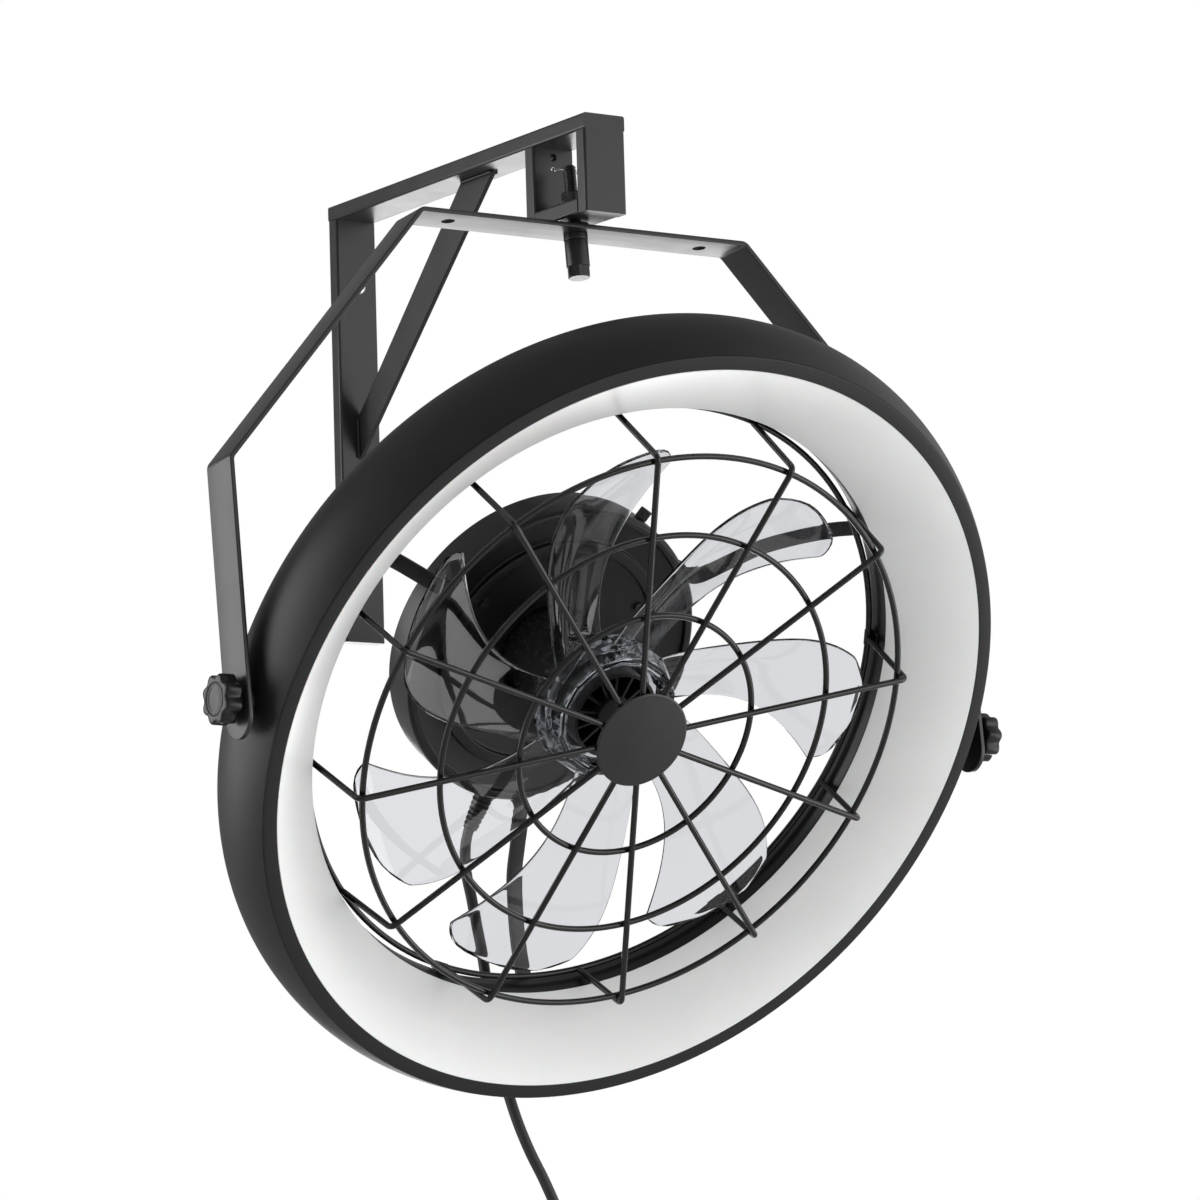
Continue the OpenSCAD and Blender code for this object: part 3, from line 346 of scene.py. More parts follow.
# Where most of a noise value's range begins and ends
NOISE_LOW, NOISE_HIGH = 0.3, 0.7


def noise(tree, size_mm, detail=2.0, stretch=None):
    """Noise in object space whose patches are about size_mm wide."""
    place = node(tree, "TexCoord", {}).outputs["Object"]
    if stretch:
        place = node(tree, "Mapping", {"Vector": place, "Scale": stretch}).outputs["Vector"]
    inputs = {"Vector": place, "Scale": 1000 / size_mm, "Detail": detail}
    return node(tree, "TexNoise", inputs).outputs["Fac"]


def spread(tree, value, low, high, start=NOISE_LOW, stop=NOISE_HIGH, curve="LINEAR"):
    """Maps a value between start and stop to the range from low to high."""
    inputs = {"Value": value, "From Min": start, "From Max": stop, "To Min": low,
              "To Max": high}
    return node(tree, "MapRange", inputs, interpolation_type=curve).outputs["Result"]


def tint(tree, value, dark, light):
    """Colour between dark and light by a noise value."""
    new = node(tree, "ValToRGB", {"Fac": value})
    ends = ((NOISE_LOW, dark), (NOISE_HIGH, light))
    for element, (position, colour) in zip(new.color_ramp.elements, ends):
        element.position = position
        element.color = (*colour, 1)
    return new.outputs["Color"]


def bump(tree, shader, value, height_mm, strength=1.0):
    """Relief from a noise value, as deep as height_mm."""
    inputs = {"Height": value, "Distance": height_mm / 1000, "Strength": strength}
    tree.links.new(node(tree, "Bump", inputs).outputs["Normal"], shader.inputs["Normal"])


def surface(name, dark, light, rough, patch_mm, grain_mm, grain_h, sockets, stretch=None):
    """Surface with patchy colour and gloss and a fine grain; a lone number is a grey."""
    mat, tree, shader = principled(name, **sockets)
    patches = noise(tree, patch_mm, detail=3.0, stretch=stretch)
    grain = noise(tree, grain_mm, stretch=stretch)
    dark, light = (grey(c) if isinstance(c, float) else c for c in (dark, light))
    tree.links.new(tint(tree, patches, dark, light), shader.inputs["Base Color"])
    tree.links.new(spread(tree, patches, *rough), shader.inputs["Roughness"])
    bump(tree, shader, grain, grain_h)
    return mat


def grey(v):
    return (v, v, v)


ACRYLIC_IOR = 1.49


def clear_plastic(name):
    """Clear, faintly smoky moulding, darker through its edges."""
    mat, tree, shader = principled(name, IOR=ACRYLIC_IOR, Transmission_Weight=1.0)
    haze = noise(tree, size_mm=60)
    pale = tint(tree, haze, (0.73, 0.738, 0.762), (0.75, 0.758, 0.78))
    tree.links.new(pale, shader.inputs["Base Color"])
    tree.links.new(spread(tree, haze, low=0.0, high=0.03), shader.inputs["Roughness"])
    ripple = noise(tree, size_mm=35, detail=1.0)
    bump(tree, shader, ripple, height_mm=0.12, strength=0.5)
    body = node(tree, "VolumeAbsorption", {"Color": (0.80, 0.81, 0.83, 1), "Density": 90})
    tree.links.new(body.outputs["Volume"], tree.nodes["Material Output"].inputs["Volume"])
    return mat


# Heights of the light cover's outer and inner edges along the fan's axis, in millimetres
LIP_Z, COVER_IN_Z = 24.1, -16.7


def opal_plastic(name):
    """Opal light cover, with painted shade that makes its colour a little darker towards its
    inner edge.
    """
    mat, tree, shader = principled(name, Roughness=0.42, IOR=ACRYLIC_IOR,
                                   Subsurface_Weight=0.25, Subsurface_Scale=0.002)
    cloud = noise(tree, size_mm=45)
    pale = tint(tree, cloud, (0.875, 0.875, 0.87), (0.90, 0.90, 0.895))
    # Painted shade: the base colour is scaled along the fan's axis, darkest at the inner edge and
    # full at the lip
    place = node(tree, "TexCoord", {}).outputs["Object"]
    from_middle = node(tree, "VectorMath", {0: place, 1: PIVOT_AT}, operation="SUBTRACT")
    along_axis = {0: from_middle.outputs["Vector"], 1: HEAD.col[2].xyz}
    height = node(tree, "VectorMath", along_axis, operation="DOT_PRODUCT").outputs["Value"]
    painted_shade = spread(tree, height, low=0.76, high=1.02, start=COVER_IN_Z / 1000,
                   stop=LIP_Z / 1000)
    scaled = node(tree, "VectorMath", {0: pale, "Scale": painted_shade}, operation="SCALE")
    tree.links.new(scaled.outputs["Vector"], shader.inputs["Base Color"])
    bump(tree, shader, noise(tree, size_mm=0.8), height_mm=0.006)
    return mat


def board_material(name):
    """Green solder mask with lighter copper lines."""
    mat, tree, shader = principled(name, Roughness=0.35)
    place = node(tree, "TexCoord", {}).outputs["Object"]
    lines = {"Vector": place, "Scale": 160, "Color1": (0.01, 0.09, 0.03, 1),
             "Color2": (0.012, 0.11, 0.04, 1), "Mortar": (0.05, 0.22, 0.08, 1)}
    brick = node(tree, "TexBrick", lines)
    tree.links.new(brick.outputs["Color"], shader.inputs["Base Color"])
    return mat


# Surfaces by slot, with the values that surface() takes
METAL = {"Metallic": 1.0}
SURFACES = {
    "black_steel": ("powder_coat", 0.011, 0.015, (0.28, 0.34), 25, 0.9, 0.014, {}),
    "bright_steel": ("bright_steel", 0.58, 0.70, (0.16, 0.28), 3, 0.4, 0.004, METAL),
    "black_fastener": ("blackened_steel", 0.018, 0.035, (0.16, 0.30), 4, 0.5, 0.005,
                       {"Metallic": 0.35, "Specular_IOR_Level": 0.6}),
    "black_plastic": ("black_plastic", 0.005, 0.008, (0.30, 0.36), 30, 1.2, 0.003, {}),
    "ring_plastic": ("ring_shell", 0.006, 0.009, (0.42, 0.48), 40, 1.1, 0.045,
                     {"Specular_IOR_Level": 0.40}),
    "led": ("led_strip", (0.62, 0.58, 0.42), (0.75, 0.72, 0.58), (0.3, 0.4), 4, 0.8, 0.004, {}),
    "grille_wire": ("wire_coat", 0.004, 0.006, (0.14, 0.20), 12, 0.8, 0.004, {}),
    "cast_alloy": ("cast_alloy", 0.34, 0.46, (0.40, 0.55), 6, 0.7, 0.02, METAL),
    "stator": ("windings", (0.30, 0.10, 0.03), (0.50, 0.20, 0.07), (0.25, 0.4), 2, 0.6, 0.05,
               {"Metallic": 0.9}, (1, 1, 8)),
    "white_plastic": ("white_plastic", 0.72, 0.78, (0.35, 0.45), 20, 0.6, 0.004, {}),
    "magnet": ("magnet", 0.05, 0.08, (0.5, 0.6), 5, 0.4, 0.01, {"Metallic": 0.6}),
    "knob_plastic": ("knob_plastic", 0.006, 0.009, (0.24, 0.34), 10, 0.5, 0.006,
                     {"Specular_IOR_Level": 0.38}),
    "cord_rubber": ("cord_rubber", 0.012, 0.018, (0.38, 0.48), 15, 0.5, 0.012, {}),
    "pin_brass": ("pin_brass", (0.62, 0.55, 0.38), (0.72, 0.66, 0.50), (0.2, 0.32), 3, 0.4,
                  0.004, METAL),
}
MATERIALS = {slot: surface(*row) for slot, row in SURFACES.items()}
MATERIALS["opal"] = opal_plastic("opal")
MATERIALS["board"] = board_material("board")
MATERIALS["clear_blades"] = clear_plastic("clear_blades")

# Softened edges of the CAD nodes: widths in millimetres, least angle in degrees
SOFT_EDGES = {
    "wall_upright": 0.9, "top_arm": 0.9, "box_front_plate": 0.8, "box_bottom_plate": 0.6,
    "box_rear_plate": 0.5, "diagonal_brace": 0.7, "grille_backplate": 0.3,
    "arm_screws": 0.3, "cover_screws": 0.3, "housing_screws": 0.3, "plug_pins": 0.3,
    "pivot_bushes": 0.4, "hub_core": 0.2,
}
SOFT_DEG = 50
SOFT_STEPS = 3
SOFT_WELD_M = 1e-5


def dress_nodes():
    """Materials of all CAD nodes, and softened edges on those that stay in view."""
    slots = {part["node"]: part["material_slot"] for part in frame["record"]["subparts"]}
    for name, obj in frame["nodes"].items():
        material = MATERIALS[slots[name]]
        if not obj.material_slots:
            obj.data.materials.append(material)
        for slot in obj.material_slots:
            slot.material = material
        if name in SOFT_EDGES:
            weld = obj.modifiers.new("weld", "WELD")
            weld.merge_threshold = SOFT_WELD_M
            bevel = obj.modifiers.new("bevel", "BEVEL")
            bevel.width = SOFT_EDGES[name] / 1000
            bevel.segments = SOFT_STEPS
            bevel.limit_method = "ANGLE"
            bevel.angle_limit = math.radians(SOFT_DEG)


dress_nodes()


# Lead with its relief, tie and plug, in millimetres and degrees on the head
RELIEF_DEG, RELIEF_R, RELIEF_Z = -96, 100.2, -98
LEAD_SIDES = 20
NEVER_ALONG_LEAD = (0.35, 0.93, 0.12)
TIE_OUT = 40.7


def make_lead():
    """The lead with its coil as one tube, and the pieces on it."""
    path = lead_path()
    shape = tube(path, CORD_D / 2, LEAD_SIDES, NEVER_ALONG_LEAD)
    lead = piece("mains_lead", shape, "head", "cord_rubber", "cord", "cord_coil",
                 where=Matrix.Identity(4))
    relief = piece("strain_relief", relief_shape(), "head", "cord_rubber", "cord_gland",
                   where=HEAD_MM @ outward(RELIEF_DEG, RELIEF_R, RELIEF_Z))
    tie = piece("lead_tie", tie_shape(path), "head", "cord_rubber", "cord_tie", where=MM)
    plug = piece("mains_plug", plug_shape(), "head", "cord_rubber", "plug",
                 where=Matrix.Translation(path[-1]) @ MM, weld=True)


def relief_shape():
    """Tapered strain relief with a flange and rounded ribs."""
    bore_r, neck_r, flange_r, flange_t, long = 3.8, 6.5, 8, 2, 27
    taper, ribs, groove = 1.6, 7, 0.75
    first_z, ribbed = 2.4, 24
    profile = [(bore_r, 0), (flange_r, 0), (flange_r, flange_t - 0.4),
               (flange_r - 0.4, flange_t), (neck_r, flange_t)]
    for i in range(ribs):
        for share, dip in ((0.1, 0), (0.55, 0), (0.68, groove), (0.9, groove)):
            z = first_z + ribbed * (i + share) / ribs
            profile.append((neck_r - taper * z / long - dip, z))
    profile += [(4.8, long - 0.4), (4.5, long), (bore_r, long)]
    return lathe(profile, 64)


def tie_shape(path):
    """Flat band round the bundle of turns, at the side away from the lead."""
    centre = path[-1] + Vector((-COIL_R, -LAYER_PITCH / 2, CORD_D))
    mid = centre * 1000 - Vector((TIE_OUT, 0, 0))
    wide, high, thick, half, corner, edge = 25.0, 15.6, 1.2, 4.0, 4.0, 0.4
    outline = rounded_box(wide, high, corner, 8)
    band = ((0, -half + edge), (0.3, -half), (thick - 0.3, -half), (thick, -half + edge),
            (thick, half - edge), (thick - 0.3, half), (0.3, half), (0, half - edge))
    rings = []
    for i, (x, y) in enumerate(outline):
        a, b = outline[i - 1], outline[(i + 1) % len(outline)]
        side = Vector((b[1] - a[1], a[0] - b[0])).normalized()
        rings.append([mid + Vector((x + side.x * out, y + side.y * out, z)) for out, z in band])
    return loft(rings, loop=True)


def plug_shape():
    """Moulded plug hanging from the lead's end: ribbed neck, waisted body."""
    def ring(z, hx, hy, power):
        out = []
        for a in turns(64):
            c, s = math.cos(a), math.sin(a)
            out.append((hx * math.copysign(abs(c) ** (2 / power), c),
                        hy * math.copysign(abs(s) ** (2 / power), s), z))
        return out
    neck_r, widening, neck_l, ribs, groove = 3.9, 2.3, 30, 6, 0.6
    first_z, ribbed = -0.6, 28
    rings = [ring(0, 3.55, 3.55, 2), ring(-0.4, 3.8, 3.8, 2)]
    for i in range(ribs):
        for share, dip in ((0.1, 0), (0.5, 0), (0.62, groove), (0.9, groove)):
            z = first_z - ribbed * (i + share) / ribs
            r = neck_r - widening * z / neck_l - dip
            rings.append(ring(z, r, r, 2))
    # Height, half width, half depth and squareness of each level of the body
    body = [(-29.6, 6.2, 6.6, 2.2), (-30.4, 6.6, 8.0, 2.6), (-32, 7.2, 9.6, 3),
            (-35, 7.7, 10.9, 3.6), (-39, 7.9, 11.8, 4), (-44, 7.8, 11.8, 4.2),
            (-50, 7.4, 11.2, 4.4), (-56, 7.7, 11.6, 4.6), (-61, 8, 12, 5),
            (-63.4, 8, 12, 5), (-64, 7.5, 11.5, 5)]
    rings += [ring(*level) for level in body]
    return loft(rings)


make_lead()


# Swivel, in millimetres: heights run up the leaned axis from the yoke's upper face
BOLT_R, BOLT_BORE_R, ACROSS_FLATS = 4, 4.06, 13
HEAD_LOW, HEAD_HIGH = -31.0, -24.0
SLEEVE_R, SLEEVE_HIGH = 7.3, -7.2
COLLAR_R, COLLAR_NECK_R, COLLAR_HIGH = 7.5, 6.9, -3.1
THREAD_LOW, THREAD_HIGH, THREAD_DEPTH, THREAD_PITCH = 6, 40.9, 0.62, 1.25
WASHER_R, YOKE_WASHER_T, NUT_WASHER_T = 9, 3, 1.6
YOKE_WASHER_Z, NUT_WASHER_Z, NUT_H = 0.2, 15.827, 6.4
PIN_Z, PIN_BEND_X = 38.5, -12


def hexagon(cap=math.inf):
    """Radius over the angle of a hexagon with a corner at 0, no larger than cap."""
    def radius(a):
        return min(cap, ACROSS_FLATS / 2 / math.cos(math.radians(a % 60 - 30)))
    return radius


def hex_levels(low, high, chamfer_high):
    """Levels of a hexagon prism with a turned chamfer below and, if wanted, above."""
    steps, face_share, slope = (0, 0.3, 0.6, 0.9, 1.2), 0.97, 1.2
    caps = [(d, ACROSS_FLATS / 2 * face_share + d * slope) for d in steps]
    levels = [(low + d, hexagon(cap)) for d, cap in caps]
    if chamfer_high:
        return levels + [(high - d, hexagon(cap)) for d, cap in reversed(caps)]
    return levels + [(high, hexagon())]


def thread_shape():
    """Threaded end of the bolt, with flats on its crests and roots."""
    flank, root_flat, levels_a_turn, point = 2.2, 0.6, 7, 0.6

    def radius_at(z):
        def radius(a):
            f = (z / THREAD_PITCH - a / 360) % 1
            deep = min(1, max(0, flank * abs(2 * f - 1) - root_flat))
            return BOLT_R - THREAD_DEPTH * deep
        return radius
    long = THREAD_HIGH - THREAD_LOW
    count = int(long / THREAD_PITCH * levels_a_turn)
    heights = [THREAD_LOW + long * i / count for i in range(count + 1)]
    levels = [(z, radius_at(z)) for z in heights]
    levels.append((THREAD_HIGH + point, BOLT_R - THREAD_DEPTH - 0.2))
    return round_loft(levels, 36)


def on_bolt(outer, low, high, edge, steps=96):
    """Plain ring round the bolt."""
    outline = [(BOLT_BORE_R, low), (outer, low), (outer, high), (BOLT_BORE_R, high)]
    return lathe(rounded(outline, edge), steps)


def make_bolt():
    head = round_loft(hex_levels(HEAD_LOW, HEAD_HIGH, False))
    shank = round_loft([(HEAD_HIGH, BOLT_R), (THREAD_LOW, BOLT_R)], 48)
    piece("bolt_fine", join(head, shank, thread_shape()), "bracket", "black_fastener",
          "swivel_bolt", where=LEANED_MM, sharp=30)


def make_sleeve():
    piece("sleeve_fine", on_bolt(SLEEVE_R, HEAD_HIGH, SLEEVE_HIGH, 0.5), "bracket",
          "black_plastic", "spacer_sleeve", where=LEANED_MM)


def make_collar():
    outline = [(BOLT_BORE_R, SLEEVE_HIGH), (COLLAR_NECK_R, SLEEVE_HIGH),
               (COLLAR_R, SLEEVE_HIGH + 0.4), (COLLAR_R, COLLAR_HIGH),
               (BOLT_BORE_R, COLLAR_HIGH)]
    piece("collar_fine", lathe(rounded(outline, 0.3)), "bracket", "black_fastener",
          "swivel_collar", where=LEANED_MM)


def make_washers():
    washers = [on_bolt(WASHER_R, z, z + thick, 0.35, 72)
               for z, thick in ((YOKE_WASHER_Z, YOKE_WASHER_T), (NUT_WASHER_Z, NUT_WASHER_T))]
    piece("washers_fine", join(*washers), "bracket", "black_fastener", "swivel_washers",
          where=LEANED_MM)


def make_nut():
    low = NUT_WASHER_Z + NUT_WASHER_T
    nut = round_loft(hex_levels(low, low + NUT_H, True))
    piece("nut_fine", nut, "bracket", "black_fastener", "swivel_nut", where=LEANED_MM,
          sharp=30)


def make_split_pin():
    """Wire bent round an eye, its two legs side by side, the end of one turned out."""
    eye_r, wire_r, leg_z, eye_from, eye_turn = 1.35, 0.5, 0.52, 23, 314
    line = [(6, 0, leg_z), (PIN_BEND_X + 2, 0, leg_z)]
    for i in range(17):
        a = math.radians(eye_from + eye_turn * i / 16)
        line.append((PIN_BEND_X + eye_r * math.cos(a), 0, eye_r * math.sin(a)))
    line += [(PIN_BEND_X + 2, 0, -leg_z), (4.6, 0, -leg_z), (5.6, 0, -leg_z - 0.5)]
    pin = tube([(x, y, z + PIN_Z) for x, y, z in line], wire_r, 12, (0, 1, 0))
    piece("split_pin_fine", pin, "bracket", "bright_steel", "split_pin", where=LEANED_MM)


make_bolt()
make_sleeve()
make_collar()
make_washers()
make_nut()
make_split_pin()


# Wall screws, in millimetres: their heights, the upright's front face, and the recess
SCREW_HEIGHTS = (-91, 91)
UPRIGHT_FACE_Y = -10
SHANK_R, SHANK_L = 2.4, 9.9
RECESS_L, RECESS_W = 6.6, 1.1
RECESS_LEVELS = ((-4.5, 1.0), (-1.6, 0.55))


def recess_arm(long, wide):
    """One arm of the cross recess, narrower towards its floor."""
    box = rounded_box(long, wide, 0.25, 2)
    return loft([[(x * share, y * share, z) for x, y in box] for z, share in RECESS_LEVELS])


def make_wall_screws():
    """Pan heads with a cross recess, on shanks that end at the wall."""
    dome = [(0, -3.6), (2.2, -3.55), (4.0, -3.2), (5.1, -2.4), (5.6, -1.3), (5.7, -0.3),
            (5.5, 0), (0, 0)]
    for i, z in enumerate(SCREW_HEIGHTS):
        place = Matrix.Translation((0, UPRIGHT_FACE_Y, z)) @ Matrix.Rotation(-math.pi / 2, 4, "X")
        shank = round_loft([(0, SHANK_R), (SHANK_L, SHANK_R)], 32)
        piece("wall_shank_%d" % (i + 1), moved(shank, place), "bracket", "bright_steel",
              "wall_screws", where=MM)
        screw = new_object("wall_screw_%d" % (i + 1), moved(lathe(dome, 64), place), weld=True)
        arms = [new_object("recess", moved(recess_arm(*size), place))
                for size in ((RECESS_L, RECESS_W), (RECESS_W, RECESS_L))]
        dress(cut(screw, arms), "bracket", "bright_steel", "wall_screws")


make_wall_screws()


# Weld beads, in millimetres: the brace's side as x, the ends of its two seats as y and z
BRACE_SIDE_X = 2.2
TOP_SEAT = ((-143.5, 134.2), (-179.7, 134.2))
UPRIGHT_SEAT = ((-10.8, 3.4), (-10.8, -23.2))


def weld_bead(start, end):
    """Rippled bead with tapered ends."""
    n, thick, ripple, rate, taper = 48, 1.15, 0.18, 2.1, 0.9
    line = [start.lerp(end, i / n) for i in range(n + 1)]
    radii = [thick + ripple * math.sin(rate * i) - taper * (i in (0, n)) for i in range(n + 1)]
    return tube(line, radii, 10, (1, 0, 0))


def make_welds():
    """Weld beads along both sides of the brace's two seats."""
    beads = [weld_bead(*(Vector((side * BRACE_SIDE_X, *point)) for point in seat))
             for side in (-1, 1) for seat in (TOP_SEAT, UPRIGHT_SEAT)]
    piece("brace_welds", join(*beads), "bracket", "black_steel", where=MM)


make_welds()


# Yoke, in millimetres from the swivel: its half widths, heights, bar and holes
YOKE_SIDE_X, YOKE_TOP_X, SHOULDER_Z, TIP_Z = 267.4, 120, -166.3, -333.0
YOKE_HALF_W, YOKE_T, YOKE_BEND, YOKE_EDGE = 14.0, 3.0, 7.0, 0.7
YOKE_HOLES = ((-93, 4.25), (93, 4.25), (0, BOLT_BORE_R))


def bend_line(points, radius):
    """Line through points with its inner corners rounded."""
    steps = 12
    out = [Vector(points[0])]
    for a, p, b in zip(points, points[1:], points[2:]):
        a, p, b = Vector(a), Vector(p), Vector(b)
        u, w = (a - p).normalized(), (b - p).normalized()
        half = u.angle(w) / 2
        centre = p + (u + w).normalized() * radius / math.sin(half)
        first = p + u * radius / math.tan(half) - centre
        last = p + w * radius / math.tan(half) - centre
        clockwise = first.angle_signed(last)
        out += [centre + Matrix.Rotation(-clockwise * k / steps, 2) @ first
                for k in range(steps + 1)]
    out.append(Vector(points[-1]))
    return out


def make_yoke():
    """Flat bar bent four times, with half-round ends and softened edges."""
    half = [(YOKE_SIDE_X, TIP_Z), (YOKE_SIDE_X, SHOULDER_Z), (YOKE_TOP_X, 0)]
    corners = [(-x, z) for x, z in half] + half[::-1]
    above_tip = (0.05, 0.3, 0.8, 1.6, 2.8, 4.3, 6.1, 8.2, 10.8, YOKE_HALF_W)
    left = [Vector((-YOKE_SIDE_X, TIP_Z + d)) for d in above_tip]
    right = [Vector((YOKE_SIDE_X, TIP_Z + d)) for d in reversed(above_tip)]
    line = left + bend_line(corners, YOKE_BEND)[1:-1] + right
    rings = []
    for i, p in enumerate(line):
        a, b = line[max(i - 1, 0)], line[min(i + 1, len(line) - 1)]
        along = (b - a).normalized()
        inward = Vector((along.y, -along.x))
        to_centre = max(YOKE_HALF_W - (p.y - TIP_Z), 0)
        w = math.sqrt(max(YOKE_HALF_W ** 2 - to_centre ** 2, 0.2))
        section = rounded([(0, -w), (YOKE_T, -w), (YOKE_T, w), (0, w)],
                          min(YOKE_EDGE, 0.45 * w), 4)
        rings.append([(p.x + inward.x * s, y, p.y + inward.y * s) for s, y in section])
    yoke = new_object("yoke_bar", loft(rings), LEANED_MM, 50)
    holes = []
    for x, r in YOKE_HOLES:
        hole = round_loft([(-2 * YOKE_T, r), (YOKE_T, r)], 48)
        holes.append(new_object("hole", moved(hole, Matrix.Translation((x, 0, 0))), LEANED_MM))
    dress(cut(yoke, holes), "yoke_arm", "black_steel", "yoke")


make_yoke()


# Support arms: their angles on the head, then their section in millimetres
ARM_ANGLES = (36, 156, 276)
ARM_W, ARM_T, ARM_EDGE = 10, 3, 0.6


def make_arms():
    """Three flat bars, bent smoothly from the drum's side to the back of the ring."""
    foot = [(101.7, -105.0), (101.7, -98.0), (101.7, -91.5), (102.6, -87.4), (105.8, -84.6)]
    reach = [(112, -82.8), (130, -80.5), (150, -76.8), (172, -66.5), (190, -54.5), (203, -42.6)]
    line = smooth_line([Vector((r, 0, z)) for r, z in foot + reach], 8)
    section = rounded_box(ARM_T, ARM_W, ARM_EDGE, 3)
    rings = []
    for i, p in enumerate(line):
        along = (line[min(i + 1, len(line) - 1)] - line[max(i - 1, 0)]).normalized()
        side = Vector((along.z, 0, -along.x))
        rings.append([p + side * t + Vector((0, w, 0)) for t, w in section])
    bar = loft(rings)
    arms = join(*(moved(bar, turn_z(a)) for a in ARM_ANGLES))
    piece("support_arms_fine", arms, "head", "black_steel", "support_arms", sharp=50)


make_arms()


# Ring lamp, in millimetres
LIP_R, LIP_W, SWELL, SWELL_Z = 250.0, 8.7, 8.9, 9.5
BACK_W, BACK_H, BORE_R, BEAD_Z, WALL = 37.2, 42.7, 198.6, 30.0, 2.5
BAND_HIGH = -17
COVER_R, COVER_SAG, COVER_STEPS = 241.0, 1.1, 24
RING_STEPS = 288


def shell_skin(w, fine):
    """Outline of the shell at a depth w under its outside: from the lip over the swell,
    round the back and on to the bead at the bore, each in so many fine steps."""
    crest_r = LIP_R + SWELL - BACK_W
    bead_w, bead_h = crest_r - BORE_R - WALL / 6, SWELL_Z + BACK_H - BEAD_Z
    quarter = [math.radians(90 * i / fine) for i in range(1, fine + 1)]
    side = [(LIP_R - w + SWELL * math.sin(a) ** 2,
             LIP_Z - w - (LIP_Z + SWELL_Z - w) * (1 - math.cos(a))) for a in quarter]
    back = [(crest_r + (BACK_W - w) * math.cos(a), -SWELL_Z - (BACK_H - w) * math.sin(a))
            for a in quarter]
    roll = [(crest_r - (bead_w - w) * math.sin(a), -BEAD_Z - (bead_h - w) * math.cos(a))
            for a in quarter]
    return side + back + roll


def make_shell():
    """Ring shell with a rolled back and a lip whose edge is rounded."""
    lip_in = LIP_R - LIP_W
    lip = rounded([(lip_in, LIP_Z - WALL), (lip_in, LIP_Z), (LIP_R, LIP_Z),
                   (LIP_R + 0.4, LIP_Z - 4)], [0, 0.4, 0.9, 0], 5)
    outside = lip[:-1] + shell_skin(0, 22)[2:]
    inside = shell_skin(WALL, 8)
    shell = lathe(inside + outside[::-1], RING_STEPS)
    piece("ring_shell_fine", shell, "head", "ring_plastic", "ring_shell", sharp=40)


def make_band():
    outline = [(BORE_R, -BEAD_Z), (BORE_R + WALL, -BEAD_Z), (BORE_R + WALL, BAND_HIGH),
               (BORE_R, BAND_HIGH)]
    piece("inner_band_fine", lathe(rounded(outline, 0.6), RING_STEPS), "head",
          "black_plastic", "inner_band")


def make_cover():
    """Light cover: a hollow cone that sags a little between its edges."""
    across, down, back_r, back_z = 0.69, 0.72, 2.9, 0.3
    face = []
    for i in range(COVER_STEPS + 1):
        t = i / COVER_STEPS
        sag = COVER_SAG * math.sin(math.pi * t)
        face.append((COVER_R + (BORE_R - COVER_R) * t + sag * across,
                     LIP_Z + (COVER_IN_Z - LIP_Z) * t - sag * down))
    back = [(r + back_r, z - back_z) for r, z in face[1:]]
    piece("diffuser_fine", lathe(face + back[::-1], RING_STEPS), "head", "opal", "diffuser",
          sharp=50)


make_shell()
make_band()
make_cover()


# Grille, in millimetres: wires, spokes with their bend, rear ring, front rings and cap
WIRE_R, SPOKES, SPOKE_Z, GRILLE_R = 1.9, 12, 25.0, 188.6
SPOKE_FROM, SPOKE_BEND = 13.95, 4.5
REAR_R, REAR_Z = 194.8, -30.9
SPOKE_LEAN = math.atan((REAR_R - GRILLE_R) / (SPOKE_Z - REAR_Z))
SPOKE_TURN = math.pi / 2 - SPOKE_LEAN
FLAT_TO = GRILLE_R - SPOKE_BEND * math.tan(SPOKE_TURN / 2)
MID_SHARE, INNER_SHARE = 0.705, 0.424
FRONT_RINGS = (FLAT_TO - 0.3, GRILLE_R * MID_SHARE, GRILLE_R * INNER_SHARE)
RING_Z = 21.0
CAP_R = 31
CLIPS, FIRST_CLIP, CLIP_HALF_W = 6, 15, 5


def spoke_line():
    """Middle line of one spoke: out from the cap, round its bend, back to the rear ring."""
    line = [Vector((SPOKE_FROM, 0, SPOKE_Z)), Vector((FLAT_TO, 0, SPOKE_Z))]
    centre = Vector((FLAT_TO, 0, SPOKE_Z - SPOKE_BEND))
    for i in range(1, 9):
        a = SPOKE_TURN * i / 8
        line.append(centre + SPOKE_BEND * Vector((math.sin(a), 0, math.cos(a))))
    leg = (SPOKE_Z - REAR_Z) / math.cos(SPOKE_LEAN) - (GRILLE_R - FLAT_TO) - WIRE_R - 0.2
    line.append(line[-1] + leg * Vector((math.sin(SPOKE_LEAN), 0, -math.cos(SPOKE_LEAN))))
    return line


def bead(r, z, half_w, half_h):
    """Small weld nugget between two crossing wires."""
    levels, sides = 8, 14
    rings = []
    for i in range(1, levels):
        a = math.pi * i / levels
        level = circle_line(half_w * math.sin(a), z - half_h * math.cos(a), sides)
        rings.append([(r + x, y, h) for x, y, h in level])
    return loft(rings)


def clip_shape():
    """Bent clip: round the rear wire from behind, then forward along the ring's bore."""
    outline = rounded([(192.6, -31.6), (193.4, -33.3), (195.4, -34.3), (198.2, -33.8),
                       (198.3, -24.5), (197.1, -24.5), (197.0, -32.4), (195.2, -33.0),
                       (194.2, -32.6), (193.5, -31.2)], 0.5, 3)
    mid_r, mid_z, shrink, edge = 195.8, -30.5, 0.025, 0.3
    levels = ((-CLIP_HALF_W, shrink), (edge - CLIP_HALF_W, 0), (CLIP_HALF_W - edge, 0),
              (CLIP_HALF_W, shrink))
    return loft([[(r + (mid_r - r) * share, w, z + (mid_z - z) * share) for r, z in outline]
                 for w, share in levels])


def make_clips():
    clips = [moved(clip_shape(), turn_z(FIRST_CLIP + 360 / CLIPS * i)) for i in range(CLIPS)]
    piece("clips_fine", join(*clips), "head", "grille_wire", "grille_clips", sharp=40)


